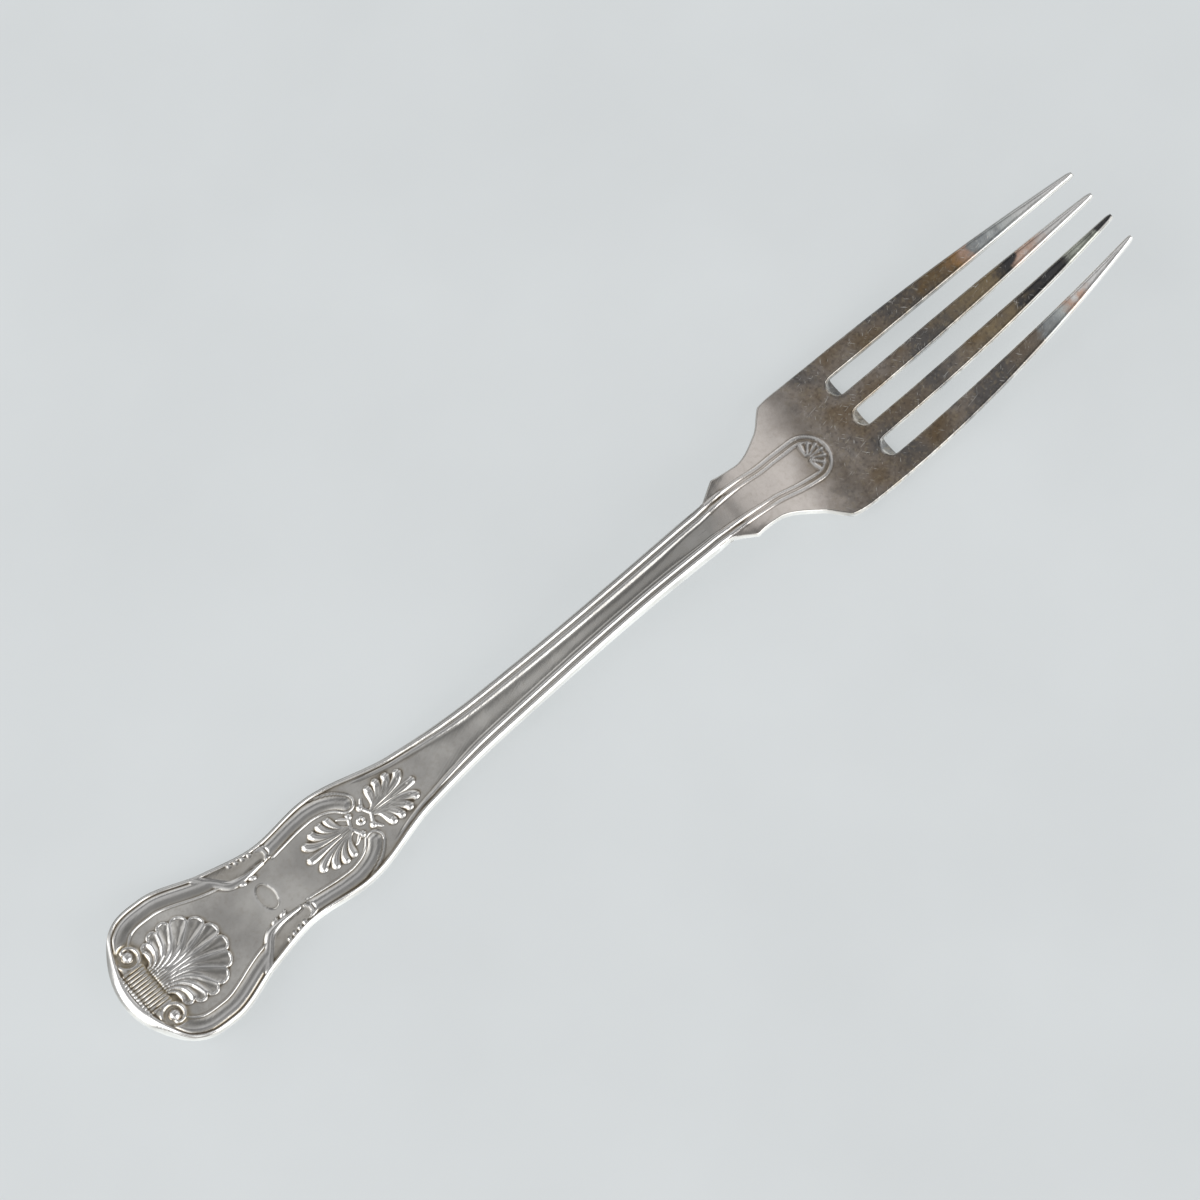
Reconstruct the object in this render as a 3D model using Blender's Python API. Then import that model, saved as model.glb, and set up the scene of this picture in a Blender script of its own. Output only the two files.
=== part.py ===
"""Silver table fork, struck in one piece: a shell and honeysuckle handle, a threaded stem, four tines.

The fork is modelled as it is made. A flat blank is struck with its relief, the slots between the tines are
pierced out, and the blank is then bent to its side profile. It lies face up with its tines towards +X.
"""

import math

import bmesh
import bpy
import numpy as np
from mathutils import Matrix, Vector

MM = 0.001

# Lengths along the fork, one after another from the end of the handle to the tips
END_CORNER_DEPTH = 3.4 * MM
CROWN_LENGTH = 12.5 * MM
FLANK_LENGTH = 10.5 * MM
WAIST_LENGTH = 9.6 * MM
BULGE_LENGTH = 9.6 * MM
TAPER_LENGTH = 16.0 * MM
SHANK_LENGTH = 16.1 * MM
STEM_LENGTH = 48.3 * MM
WING_LENGTH = 3.8 * MM
NECK_LENGTH = 4.6 * MM
FLARE_LENGTH = 6.9 * MM
SHOULDER_LENGTH = 3.9 * MM
BLOCK_LENGTH = 4.2 * MM
ROOT_LENGTH = 6.9 * MM
TINE_LENGTH = 53.1 * MM

# Full widths where those lengths end
END_CORNER_WIDTH = 18.0 * MM
CROWN_WIDTH = 25.1 * MM
FLANK_WIDTH = 19.2 * MM
WAIST_WIDTH = 15.7 * MM
BULGE_WIDTH = 17.5 * MM
TAPER_WIDTH = 11.0 * MM
SHANK_WIDTH = 8.2 * MM
STEM_WIDTH = 7.1 * MM
WING_WIDTH = 12.2 * MM
NECK_WIDTH = 11.5 * MM
FLARE_WIDTH = 17.2 * MM
SHOULDER_WIDTH = 24.2 * MM
ROOT_WIDTH = 25.1 * MM

# Side profile: rises of the underside above the table, flats that it rests on, and thicknesses
END_RISE = 3.1 * MM
END_CURL_LENGTH = 33.0 * MM
HANDLE_REST_LENGTH = 11.0 * MM
ARCH_TOP_PAST_STEM = 1.4 * MM
ARCH_RISE = 5.2 * MM
BELLY_REST_LENGTH = 4.0 * MM
BELLY_SETBACK = 0.9 * MM
TIP_RISE = 11.6 * MM
HANDLE_THICKNESS = 2.9 * MM
STEM_THICKNESS = 4.2 * MM
ROOT_THICKNESS = 2.6 * MM
TIP_THICKNESS = 1.2 * MM
EDGE_ROUNDING = 0.65 * MM

# Tines and the slots between them
INNER_TINE_WIDTH = 3.25 * MM
SLOT_WIDTH = 3.5 * MM
TINE_TIP_WIDTH = 1.0 * MM
TINE_POINT_WIDTH = 0.5 * MM
TINE_POINT_LENGTH = 2.4 * MM
TIP_PITCH = 4.85 * MM
TINE_ROUNDING = 0.4 * MM

# Mouldings along the edges, and the tongue in which they end on the root
HEAD_BORDER_WIDTH = 3.6 * MM
HEAD_RELIEF = 0.38 * MM
STEM_BORDER_WIDTH = 2.3 * MM
STEM_RELIEF = 0.38 * MM
TONGUE_LENGTH = 24.0 * MM
TONGUE_WIDTH = 9.0 * MM
TONGUE_RELIEF = 0.28 * MM

# Relief of the handle
VOLUTE_AT = 5.3 * MM
VOLUTE_SPREAD = 12.0 * MM
VOLUTE_RADIUS = 1.3 * MM
VOLUTE_HEIGHT = 1.0 * MM
REED_COUNT = 13
REED_START = 1.9 * MM
REED_LENGTH = 4.2 * MM
REED_BAND_WIDTH = 8.06 * MM
REED_HEIGHT = 0.45 * MM
SHELL_AT = 5.0 * MM
SHELL_LENGTH = 14.4 * MM
SHELL_WIDTH = 14.4 * MM
SHELL_LOBES = 12
SHELL_HEIGHT = 0.5 * MM
LEAF_LENGTH = 11.0 * MM
LEAF_SLANT = 4.5 * MM
LEAF_WIDTH = 3.3 * MM
LEAF_LOBES = 5
LEAF_HEIGHT = 0.3 * MM
HOOK_RADIUS = 1.3 * MM
HOOK_HEIGHT = 0.6 * MM
HONEYSUCKLE_FROM_BULGE = 5.65 * MM
PALMETTE_GAP = 4.5 * MM
PALMETTE_LENGTH = 8.0 * MM
PALMETTE_WIDTH = 7.0 * MM
PALMETTE_PETALS = 9
PETAL_WIDTH = 1.4 * MM
PETAL_HEIGHT = 0.42 * MM
BEAD_RADIUS = 0.7 * MM
SPRIG_LENGTH = 3.4 * MM
SPRIG_WIDTH = 4.4 * MM
SPRIG_PETALS = 5

SILVER_COLOUR = (0.62, 0.60, 0.57, 1.0)
SILVER_ROUGHNESS = 0.28

# Places along the fork where those lengths end
STEM_MIDDLE_SHARE = 0.6
CROWN_AT = CROWN_LENGTH
FLANK_AT = CROWN_AT + FLANK_LENGTH
WAIST_AT = FLANK_AT + WAIST_LENGTH
BULGE_AT = WAIST_AT + BULGE_LENGTH
TAPER_AT = BULGE_AT + TAPER_LENGTH
SHANK_AT = TAPER_AT + SHANK_LENGTH
STEM_AT = SHANK_AT + STEM_LENGTH
WING_AT = STEM_AT + WING_LENGTH
NECK_AT = WING_AT + NECK_LENGTH
FLARE_AT = NECK_AT + FLARE_LENGTH
SHOULDER_AT = FLARE_AT + SHOULDER_LENGTH
BLOCK_AT = SHOULDER_AT + BLOCK_LENGTH
ROOT_AT = BLOCK_AT + ROOT_LENGTH
OVERALL_LENGTH = ROOT_AT + TINE_LENGTH
STEM_MIDDLE = SHANK_AT + STEM_MIDDLE_SHARE * STEM_LENGTH
TONGUE_AT = STEM_AT + TONGUE_LENGTH
HONEYSUCKLE_AT = BULGE_AT + HONEYSUCKLE_FROM_BULGE
HANDLE_REST_END = END_CURL_LENGTH + HANDLE_REST_LENGTH
ARCH_TOP = STEM_AT + ARCH_TOP_PAST_STEM
BELLY_END = ROOT_AT - BELLY_SETBACK
BELLY_START = BELLY_END - BELLY_REST_LENGTH

# Mouldings from the edge inwards, as shares of a border's width and relief
HEAD_MOULDING = (
    (0.00, 0.05, 0.11, 0.19, 0.30, 0.45, 0.65, 0.87, 0.94, 1.00),
    (-0.95, -0.30, 0.00, -0.75, -0.25, -0.08, -0.35, -0.85, -0.45, -1.00),
)
STEM_MOULDING = (
    (0.00, 0.11, 0.30, 0.43, 0.55, 0.67, 0.80, 0.90, 0.95, 1.00),
    (-1.05, -0.35, 0.00, -0.25, -0.75, -0.35, 0.00, -0.30, -0.65, -1.00),
)
FIELD_COLUMNS = 3
SHANK_COLUMNS = len(HEAD_MOULDING[0]) - 1 + FIELD_COLUMNS
END_FULLNESS = 2.0
END_CORNER_SLOPE = 1.3
INNER_TINE_FULLNESS = 3.1
OUTER_TINE_FULLNESS = 2.0
INNER_TINE_SWEEP = 2.5
OUTER_TINE_SWEEP = 1.9
ARCH_LATENESS = 1.25
TIP_CURVE = 1.55
FLAT_ANGLE = math.radians(1)
SHARP_ANGLE = math.radians(35)

# Shares and angles that shape the relief
REED_OVERLAP = 1.15
LOBE_STEPS = 4
SHELL_HALF_FAN = math.radians(67)
SHELL_RADII = (0.06, 0.35, 0.65, 0.88, 1.0)
SHELL_LIFTS = (0.45, 0.50, 0.65, 1.00, 0.35)
SHELL_SCOOPS = (0.0, 0.20, 0.45, 0.60, 0.0)
SHELL_NOTCH = 0.08
LEAF_COLUMNS = 6
LEAF_NOTCH = 0.2
LEAF_VAULT = 0.75
LEAF_LIP = 0.5
LEAF_GROOVE = 0.3
PALMETTE_HALF_FAN = math.radians(72)
PALMETTE_KNOT = 1.6
PETAL_TAPER = 0.75
DOME_SINK = 0.17
SINK_LEAD = 0.25
TONGUE_FIELD_SHARE = 0.75


def smooth_curve(stations, start_slope=0.0):
    """Return a function that runs smoothly through (place, value) stations and is level at its peaks."""
    places, values = (np.array(column) for column in zip(*stations))
    steps = np.diff(places)
    slopes = np.diff(values) / steps
    tangents = np.zeros(len(places))
    tangents[0] = start_slope
    for index in range(1, len(places) - 1):
        before, after = slopes[index - 1], slopes[index]
        if before * after > 0:
            near = 2 * steps[index] + steps[index - 1]
            far = steps[index] + 2 * steps[index - 1]
            tangents[index] = (near + far) / (near / before + far / after)

    def value_at(place):
        place = min(max(place, places[0]), places[-1])
        index = min(int(np.searchsorted(places, place, side="right")) - 1, len(steps) - 1)
        share = (place - places[index]) / steps[index]
        rise = 3 * share**2 - 2 * share**3
        leave = share * (1 - share) ** 2 * tangents[index]
        arrive = share**2 * (share - 1) * tangents[index + 1]
        return float(values[index] + rise * (values[index + 1] - values[index]) + steps[index] * (leave + arrive))

    return value_at


shank_half_width = smooth_curve(
    (
        (END_CORNER_DEPTH, END_CORNER_WIDTH / 2),
        (CROWN_AT, CROWN_WIDTH / 2),
        (FLANK_AT, FLANK_WIDTH / 2),
        (WAIST_AT, WAIST_WIDTH / 2),
        (BULGE_AT, BULGE_WIDTH / 2),
        (TAPER_AT, TAPER_WIDTH / 2),
        (SHANK_AT, SHANK_WIDTH / 2),
        (STEM_MIDDLE, STEM_WIDTH / 2),
        (TONGUE_AT - TONGUE_WIDTH / 2, TONGUE_WIDTH / 2),
    ),
    start_slope=END_CORNER_SLOPE,
)
BURIED = 0.3 * MM
root_half_width = smooth_curve(
    (
        (STEM_AT - WING_LENGTH, STEM_WIDTH / 2 - 3 * BURIED),
        (STEM_AT, STEM_WIDTH / 2 - BURIED),
        (WING_AT, WING_WIDTH / 2),
        (NECK_AT, NECK_WIDTH / 2),
        (FLARE_AT, FLARE_WIDTH / 2),
        (SHOULDER_AT, SHOULDER_WIDTH / 2),
        (BLOCK_AT, ROOT_WIDTH / 2),
        (ROOT_AT, ROOT_WIDTH / 2),
    )
)
shank_thickness = smooth_curve(
    (
        (0, HANDLE_THICKNESS),
        (TAPER_AT, HANDLE_THICKNESS),
        (STEM_AT, STEM_THICKNESS),
        (FLARE_AT, ROOT_THICKNESS + TONGUE_RELIEF),
        (TONGUE_AT, ROOT_THICKNESS + TONGUE_RELIEF),
    )
)
root_thickness = smooth_curve(
    (
        (STEM_AT, STEM_THICKNESS - STEM_RELIEF - BURIED / 3),
        (WING_AT, shank_thickness(WING_AT) - TONGUE_RELIEF),
        (FLARE_AT, ROOT_THICKNESS),
        (ROOT_AT, ROOT_THICKNESS),
        (OVERALL_LENGTH, TIP_THICKNESS),
    )
)


def underside(place):
    """Height of the fork's underside above the table at a place along it."""
    if place < END_CURL_LENGTH:
        return END_RISE * (1 - place / END_CURL_LENGTH) ** 2
    if place < HANDLE_REST_END:
        return 0.0
    if place < ARCH_TOP:
        share = (place - HANDLE_REST_END) / (ARCH_TOP - HANDLE_REST_END)
        return ARCH_RISE * math.sin(math.pi / 2 * share**ARCH_LATENESS) ** 2
    if place < BELLY_START:
        share = (place - ARCH_TOP) / (BELLY_START - ARCH_TOP)
        return ARCH_RISE * math.cos(math.pi / 2 * share) ** 2
    if place < BELLY_END:
        return 0.0
    share = min(1.0, (place - BELLY_END) / (OVERALL_LENGTH - BELLY_END))
    return TIP_RISE * share**TIP_CURVE


def bend(point):
    """Carry a point of the flat blank to its place on the bent fork."""
    return Vector((point.x - OVERALL_LENGTH / 2, point.y, underside(point.x) + point.z))


def even_steps(start, end, count):
    """Places from start to end in equal steps, without the start."""
    return [start + (end - start) * step / count for step in range(1, count + 1)]


def border(place):
    """Distances from the edge and heights of the edge moulding at a place along the shank."""
    hook = HONEYSUCKLE_AT - HOOK_RADIUS
    stem_share = min(1.0, max(0.0, (place - hook) / (TAPER_AT - hook)))
    tongue_share = min(1.0, max(0.0, (place - STEM_AT) / WING_LENGTH))
    head = np.array((HEAD_BORDER_WIDTH, HEAD_RELIEF))[:, None] * np.array(HEAD_MOULDING)
    stem = np.array((STEM_BORDER_WIDTH, STEM_RELIEF))[:, None] * np.array(STEM_MOULDING)
    distances, heights = head + (stem - head) * stem_share
    field_lift = tongue_share * (STEM_RELIEF - TONGUE_FIELD_SHARE * TONGUE_RELIEF)
    heights[-1] += field_lift
    return distances, heights


def shank_rows():
    """Rows of the shank's sheet, as their places at the edge and on the centre line."""
    distances, _ = border(0)
    rows = [(END_CORNER_DEPTH + distance, distance) for distance in distances]
    edge_start, centre_start = rows[-1]
    fade_length = FLANK_AT - edge_start
    for edge in even_steps(edge_start, TAPER_AT, 28):
        fade = max(0.0, 1 - (edge - edge_start) / fade_length) ** 2
        rows.append((edge, edge - (edge_start - centre_start) * fade))
    rows += [(place, place) for place in even_steps(TAPER_AT, STEM_AT, 11)]
    round_start = TONGUE_AT - TONGUE_WIDTH
    rows += [(place, place) for place in even_steps(STEM_AT, round_start, 4)]
    edge_end = TONGUE_AT - TONGUE_WIDTH / 2
    distances, _ = border(TONGUE_AT)
    centre_end = TONGUE_AT - distances[-1]
    for share in even_steps(0, 1, 3):
        edge = round_start + share * (edge_end - distances[-1] / 2 - round_start)
        rows.append((edge, round_start + share * (centre_end - round_start)))
    for distance in distances[-2::-1]:
        rows.append((edge_end - distance / 2, TONGUE_AT - distance))
    return rows


def runs_lengthwise(edge):
    """Say whether an edge runs along the fork rather than across it."""
    run = edge.verts[1].co - edge.verts[0].co
    return abs(run.x) > abs(run.y)


def struck_slab(name, row_count, column_count, pierced, place_point):
    """Make a closed slab: a sheet of cells, less the pierced ones, extruded and set to its shape."""
    slab = bmesh.new()
    bmesh.ops.create_grid(slab, x_segments=row_count, y_segments=column_count, size=0.5)
    holes = []
    for face in slab.faces:
        centre = face.calc_center_median()
        if pierced((centre.x + 0.5) * row_count, centre.y * column_count):
            holes.append(face)
    bmesh.ops.delete(slab, geom=holes, context="FACES")
    raised = bmesh.ops.extrude_face_region(slab, geom=slab.faces[:])
    upper = {element for element in raised["geom"] if isinstance(element, bmesh.types.BMVert)}
    for vert in slab.verts:
        row = round((vert.co.x + 0.5) * row_count)
        column = round(vert.co.y * column_count)
        vert.co = place_point(row, column, vert in upper)
    bmesh.ops.recalc_face_normals(slab, faces=slab.faces)
    spare = [edge for edge in slab.edges if runs_lengthwise(edge) and edge.calc_face_angle() < FLAT_ANGLE]
    bmesh.ops.dissolve_edges(slab, edges=spare, use_verts=True)
    return new_object(name, slab)


def new_object(name, shape):
    """Turn a finished bmesh into an object."""
    mesh = bpy.data.meshes.new(name)
    shape.to_mesh(mesh)
    shape.free()
    return bpy.data.objects.new(name, mesh)


def make_shank():
    """Handle, stem and tongue: one struck strip with mouldings along its edges and round its ends."""
    rows = shank_rows()
    tongue_edge = TONGUE_AT - TONGUE_WIDTH / 2

    def place_point(row, column, is_upper):
        edge_place, centre_place = rows[row]
        half = shank_half_width(edge_place)
        distances, heights = border(edge_place)
        inwards = SHANK_COLUMNS - abs(column)
        if inwards < len(distances):
            distance = distances[inwards]
        else:
            distance = half - (half - distances[-1]) * abs(column) / FIELD_COLUMNS
        across = half - distance
        share = across / half
        if centre_place <= edge_place:
            place = edge_place + (centre_place - edge_place) * (1 - share**END_FULLNESS)
        else:
            place = edge_place + (centre_place - edge_place) * math.sqrt(1 - share**2)
        from_end = place - END_CORNER_DEPTH * share**END_FULLNESS
        from_tongue = tongue_edge + TONGUE_WIDTH / 2 * math.sqrt(1 - share**2) - place
        distance = min(distance, max(0.0, from_end), max(0.0, from_tongue))
        if is_upper:
            height = shank_thickness(place) + float(np.interp(distance, distances, heights))
        else:
            rounding = max(0.0, 1 - distance / EDGE_ROUNDING) ** 2
            sunk = max(0.0, min(1.0, (place - STEM_AT) / WING_LENGTH + SINK_LEAD))
            height = max(EDGE_ROUNDING * rounding, sunk * ROOT_THICKNESS / 2)
        return Vector((place, math.copysign(across, column), height))

    return struck_slab("shank", len(rows) - 1, 2 * SHANK_COLUMNS, lambda row, column: False, place_point)


# Columns of the root and tines: half the middle slot, then a tine, a slot and a tine on each side
TINE_SHARES = (0.0, 0.25, 0.75, 1.0)
SLOT_SHARES = (0.0, 0.25, 0.5, 0.75, 1.0)
COLUMN_ENDS = (2, 5, 9, 12)


def tine_edges(place):
    """Distances from the axis of the inner tine's two edges and the outer tine's two edges."""
    share = max(0.0, (place - ROOT_AT) / TINE_LENGTH)
    outer_width = ROOT_WIDTH / 2 - 1.5 * SLOT_WIDTH - INNER_TINE_WIDTH
    inner_root = (SLOT_WIDTH + INNER_TINE_WIDTH) / 2
    outer_root = (ROOT_WIDTH - outer_width) / 2
    left = OVERALL_LENGTH - place
    point = 1.0
    if left < TINE_POINT_LENGTH:
        blunt = TINE_POINT_WIDTH / TINE_TIP_WIDTH
        point = blunt + (1 - blunt) * math.sqrt(max(0.0, 1 - (1 - left / TINE_POINT_LENGTH) ** 2))
    edges = []
    for root, root_width, tip, sweep, fullness in (
        (inner_root, INNER_TINE_WIDTH, TIP_PITCH / 2, INNER_TINE_SWEEP, INNER_TINE_FULLNESS),
        (outer_root, outer_width, 1.5 * TIP_PITCH, OUTER_TINE_SWEEP, OUTER_TINE_FULLNESS),
    ):
        centre = root + (tip - root) * share**sweep
        width = (root_width + (TINE_TIP_WIDTH - root_width) * share**fullness) * point
        edges += [centre - width / 2, centre + width / 2]
    spread = min(1.0, root_half_width(place) / (ROOT_WIDTH / 2))
    return [edge * spread for edge in edges]


def make_tine_block():
    """Wings, root and tines: a plain strip whose slots are pierced out, with rounded edges."""
    places = [STEM_AT - WING_LENGTH]
    for start, end, count in (
        (STEM_AT - WING_LENGTH, STEM_AT, 2),
        (STEM_AT, WING_AT, 2),
        (WING_AT, NECK_AT, 3),
        (NECK_AT, FLARE_AT, 5),
        (FLARE_AT, SHOULDER_AT, 4),
        (SHOULDER_AT, BLOCK_AT, 3),
        (BLOCK_AT, BELLY_START, 1),
        (BELLY_START, ROOT_AT - SLOT_WIDTH / 2, 1),
    ):
        places += even_steps(start, end, count)
    slot_row = len(places)
    places.append(ROOT_AT + SLOT_WIDTH / 2)
    places += even_steps(places[-1], OVERALL_LENGTH - TINE_POINT_LENGTH, 15)
    places += even_steps(places[-1], OVERALL_LENGTH, 4)
    last_row = len(places) - 1
    half_columns = COLUMN_ENDS[-1]

    def in_slot(column):
        return abs(column) < COLUMN_ENDS[0] or COLUMN_ENDS[1] < abs(column) < COLUMN_ENDS[2]

    def place_point(row, column, is_upper):
        place = places[row]
        side = abs(column)
        inner, inner_end, outer, outer_end = tine_edges(place)
        if side <= COLUMN_ENDS[0]:
            across = inner * side / COLUMN_ENDS[0]
            slot_middle, edge_share = 0.0, None
        elif side <= COLUMN_ENDS[1]:
            edge_share = TINE_SHARES[side - COLUMN_ENDS[0]]
            across = inner + (inner_end - inner) * edge_share
        elif side < COLUMN_ENDS[2]:
            across = inner_end + (outer - inner_end) * SLOT_SHARES[side - COLUMN_ENDS[1]]
            slot_middle, edge_share = (inner_end + outer) / 2, None
        else:
            edge_share = TINE_SHARES[side - COLUMN_ENDS[2]]
            across = outer + (outer_end - outer) * edge_share
        at_edge = side == half_columns
        if row == slot_row and in_slot(side):
            gap = inner if side < COLUMN_ENDS[0] else (outer - inner_end) / 2
            place -= math.sqrt(max(0.0, gap**2 - (across - slot_middle) ** 2))
            at_edge = True
        if row >= slot_row and edge_share in (0.0, 1.0):
            at_edge = True
        rounding = TINE_ROUNDING if at_edge or row == last_row else 0.0
        thickness = root_thickness(place)
        buried = max(0.0, min(1.0, (STEM_AT - place) / WING_LENGTH)) * ROOT_THICKNESS / 3
        height = thickness - rounding if is_upper else rounding + buried
        return Vector((place, math.copysign(across, column), height))

    def pierced(row, column):
        return row > slot_row and in_slot(column)

    return struck_slab("tine_block", last_row, 2 * half_columns, pierced, place_point)


def field_height(place):
    """Height of the sunk field between the mouldings."""
    _, heights = border(place)
    return shank_thickness(place) + float(heights[-1])


def add_dome(relief, place, across, length, width, height, turn=0.0, taper=0.0, sides=8, rings=6):
    """Add an egg that lies along its own length, narrower towards its start, sunk past its middle."""
    made = bmesh.ops.create_uvsphere(relief, u_segments=sides, v_segments=rings, radius=1.0)
    upright = Matrix.Rotation(math.pi / 2, 4, "Y")
    seat = Vector((place, across, field_height(place) - DOME_SINK * height))
    turned = Matrix.Translation(seat) @ Matrix.Rotation(turn, 4, "Z")
    for vert in made["verts"]:
        local = upright @ vert.co
        narrow = 1 - taper * (1 - local.x) / 2
        shaped = Vector((local.x * length / 2, local.y * width / 2 * narrow, local.z * height * narrow))
        vert.co = turned @ shaped


def make_volutes():
    """The two round eyes that the border scrolls wind into, and the small hooks that end them."""
    relief = bmesh.new()
    for side in (-1, 1):
        eye = 2 * VOLUTE_RADIUS
        add_dome(relief, VOLUTE_AT, side * VOLUTE_SPREAD / 2, eye, eye, VOLUTE_HEIGHT, sides=10)
        hook = shank_half_width(HONEYSUCKLE_AT) - HEAD_BORDER_WIDTH
        add_dome(relief, HONEYSUCKLE_AT, side * hook, 2 * HOOK_RADIUS, 2 * HOOK_RADIUS, HOOK_HEIGHT)
    return new_object("volutes", relief)


def make_reeds():
    """The bundle of reeds between the volutes, each a long rounded rib."""
    relief = bmesh.new()
    pitch = REED_BAND_WIDTH / REED_COUNT
    for index in range(REED_COUNT):
        across = (index - (REED_COUNT - 1) / 2) * pitch
        middle = REED_START + REED_LENGTH / 2
        add_dome(relief, middle, across, REED_LENGTH, REED_OVERLAP * pitch, REED_HEIGHT, sides=6, rings=5)
    return new_object("reeds", relief)


def make_shell():
    """The scallop shell: a fan of scooped lobes with raised ribs between them and a lifted rim."""
    columns = SHELL_LOBES * LOBE_STEPS

    def place_point(row, column, is_upper):
        angle = SHELL_HALF_FAN * 2 * column / columns
        rib = 1 - abs(math.sin(math.pi * column / LOBE_STEPS))
        scallop = 1 - SHELL_NOTCH * rib * SHELL_RADII[row] ** 4
        radius = SHELL_RADII[row] * scallop * SHELL_LENGTH * math.cos(angle)
        place = SHELL_AT + radius * math.cos(angle)
        across = radius * math.sin(angle) * SHELL_WIDTH / SHELL_LENGTH
        height = field_height(place)
        if is_upper:
            height += SHELL_HEIGHT * (SHELL_LIFTS[row] - SHELL_SCOOPS[row] * (1 - rib))
        else:
            height -= HEAD_RELIEF
        return Vector((place, across, height))

    return struck_slab("shell", len(SHELL_RADII) - 1, columns, lambda row, column: False, place_point)


def make_leaf(side):
    """A notched leaf that wraps the scroll slantwise on one side of the waist, and ends in a rolled lip."""
    row_count = LEAF_LOBES * LOBE_STEPS
    start = WAIST_AT - LEAF_LENGTH

    def place_point(row, column, is_upper):
        along = row / row_count
        outwards = 2 * column / LEAF_COLUMNS
        slant = LEAF_SLANT * (1 - outwards) / 2 * (1 - along)
        place = start + LEAF_LENGTH * along + slant
        notch = 1 - abs(math.sin(math.pi * row / LOBE_STEPS))
        spread = LEAF_WIDTH / 2 * (1 - LEAF_NOTCH * notch)
        across = shank_half_width(place) - HEAD_BORDER_WIDTH / 2 + outwards * spread
        height = field_height(place)
        if is_upper:
            vault = 1 - LEAF_VAULT * outwards**2
            lip = 1 + LEAF_LIP * along**6
            height += HEAD_RELIEF + LEAF_HEIGHT * (vault * lip - LEAF_GROOVE * notch)
        return Vector((place, side * across, height))

    name = "leaf_left" if side > 0 else "leaf_right"
    return struck_slab(name, row_count, LEAF_COLUMNS, lambda row, column: False, place_point)


def add_palmette(relief, base, heading, length, width, petals, petal_width):
    """Add a fan of drop-shaped petals that spread from a base, longest along the axis."""
    half = (petals - 1) // 2
    for index in range(-half, half + 1):
        angle = PALMETTE_HALF_FAN * index / half
        reach = 1 / math.hypot(math.cos(angle) / length, math.sin(angle) / (width / 2))
        turn = angle if heading > 0 else math.pi - angle
        middle = (reach + petal_width / 2) / 2
        place = base + heading * math.cos(angle) * middle
        drop = reach - petal_width / 2
        add_dome(relief, place, math.sin(angle) * middle, drop, petal_width, PETAL_HEIGHT, turn, PETAL_TAPER)
    add_dome(relief, base, 0, petal_width, PALMETTE_KNOT * petal_width, PETAL_HEIGHT)


def make_honeysuckle():
    """Two palmettes back to back with a bead between them, and the small sprig on the tongue."""
    relief = bmesh.new()
    for heading in (-1, 1):
        base = HONEYSUCKLE_AT + heading * PALMETTE_GAP / 2
        add_palmette(relief, base, heading, PALMETTE_LENGTH, PALMETTE_WIDTH, PALMETTE_PETALS, PETAL_WIDTH)
    add_dome(relief, HONEYSUCKLE_AT, 0, PALMETTE_GAP, BEAD_RADIUS, PETAL_HEIGHT)
    add_dome(relief, HONEYSUCKLE_AT, 0, 2 * BEAD_RADIUS, 2 * BEAD_RADIUS, BEAD_RADIUS)
    base = TONGUE_AT - STEM_BORDER_WIDTH - SPRIG_LENGTH
    add_palmette(relief, base, 1, SPRIG_LENGTH, SPRIG_WIDTH, SPRIG_PETALS, PETAL_WIDTH)
    return new_object("honeysuckle", relief)


def silver():
    """Polished silver, dulled by age."""
    material = bpy.data.materials.new("aged_silver")
    material.use_nodes = True
    shader = material.node_tree.nodes["Principled BSDF"]
    shader.inputs["Base Color"].default_value = SILVER_COLOUR
    shader.inputs["Metallic"].default_value = 1.0
    shader.inputs["Roughness"].default_value = SILVER_ROUGHNESS
    return material


def new_collection(name):
    """Add a collection to the scene."""
    collection = bpy.data.collections.new(name)
    bpy.context.scene.collection.children.link(collection)
    return collection


def build_fork():
    """Join the relief to the blank, bend the whole to its profile and give it its finish."""
    fork_parts = new_collection("table_fork")
    blank = new_collection("fork_blank")
    relief = new_collection("fork_blank_relief")
    shank = make_shank()
    blank.objects.link(shank)
    for piece in (
        make_tine_block(),
        make_volutes(),
        make_reeds(),
        make_shell(),
        make_leaf(1),
        make_leaf(-1),
        make_honeysuckle(),
    ):
        relief.objects.link(piece)
    for piece in (shank, *relief.objects):
        piece.hide_render = True
        piece.display_type = "WIRE"
    union = shank.modifiers.new("struck_relief", "BOOLEAN")
    union.operation = "UNION"
    union.solver = "EXACT"
    union.use_self = True
    union.operand_type = "COLLECTION"
    union.collection = relief
    depsgraph = bpy.context.evaluated_depsgraph_get()
    mesh = bpy.data.meshes.new_from_object(shank.evaluated_get(depsgraph))
    mesh.name = "table_fork"
    for vert in mesh.vertices:
        vert.co = bend(vert.co)
    mesh.materials.clear()
    mesh.materials.append(silver())
    mesh.shade_smooth()
    mesh.set_sharp_from_angle(angle=SHARP_ANGLE)
    fork_parts.objects.link(bpy.data.objects.new("table_fork", mesh))


for old_object in list(bpy.data.objects):
    bpy.data.objects.remove(old_object)
build_fork()
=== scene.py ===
import math

import bmesh
import bpy
import numpy as np
from mathutils import Matrix, Vector
from mathutils.kdtree import KDTree


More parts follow.
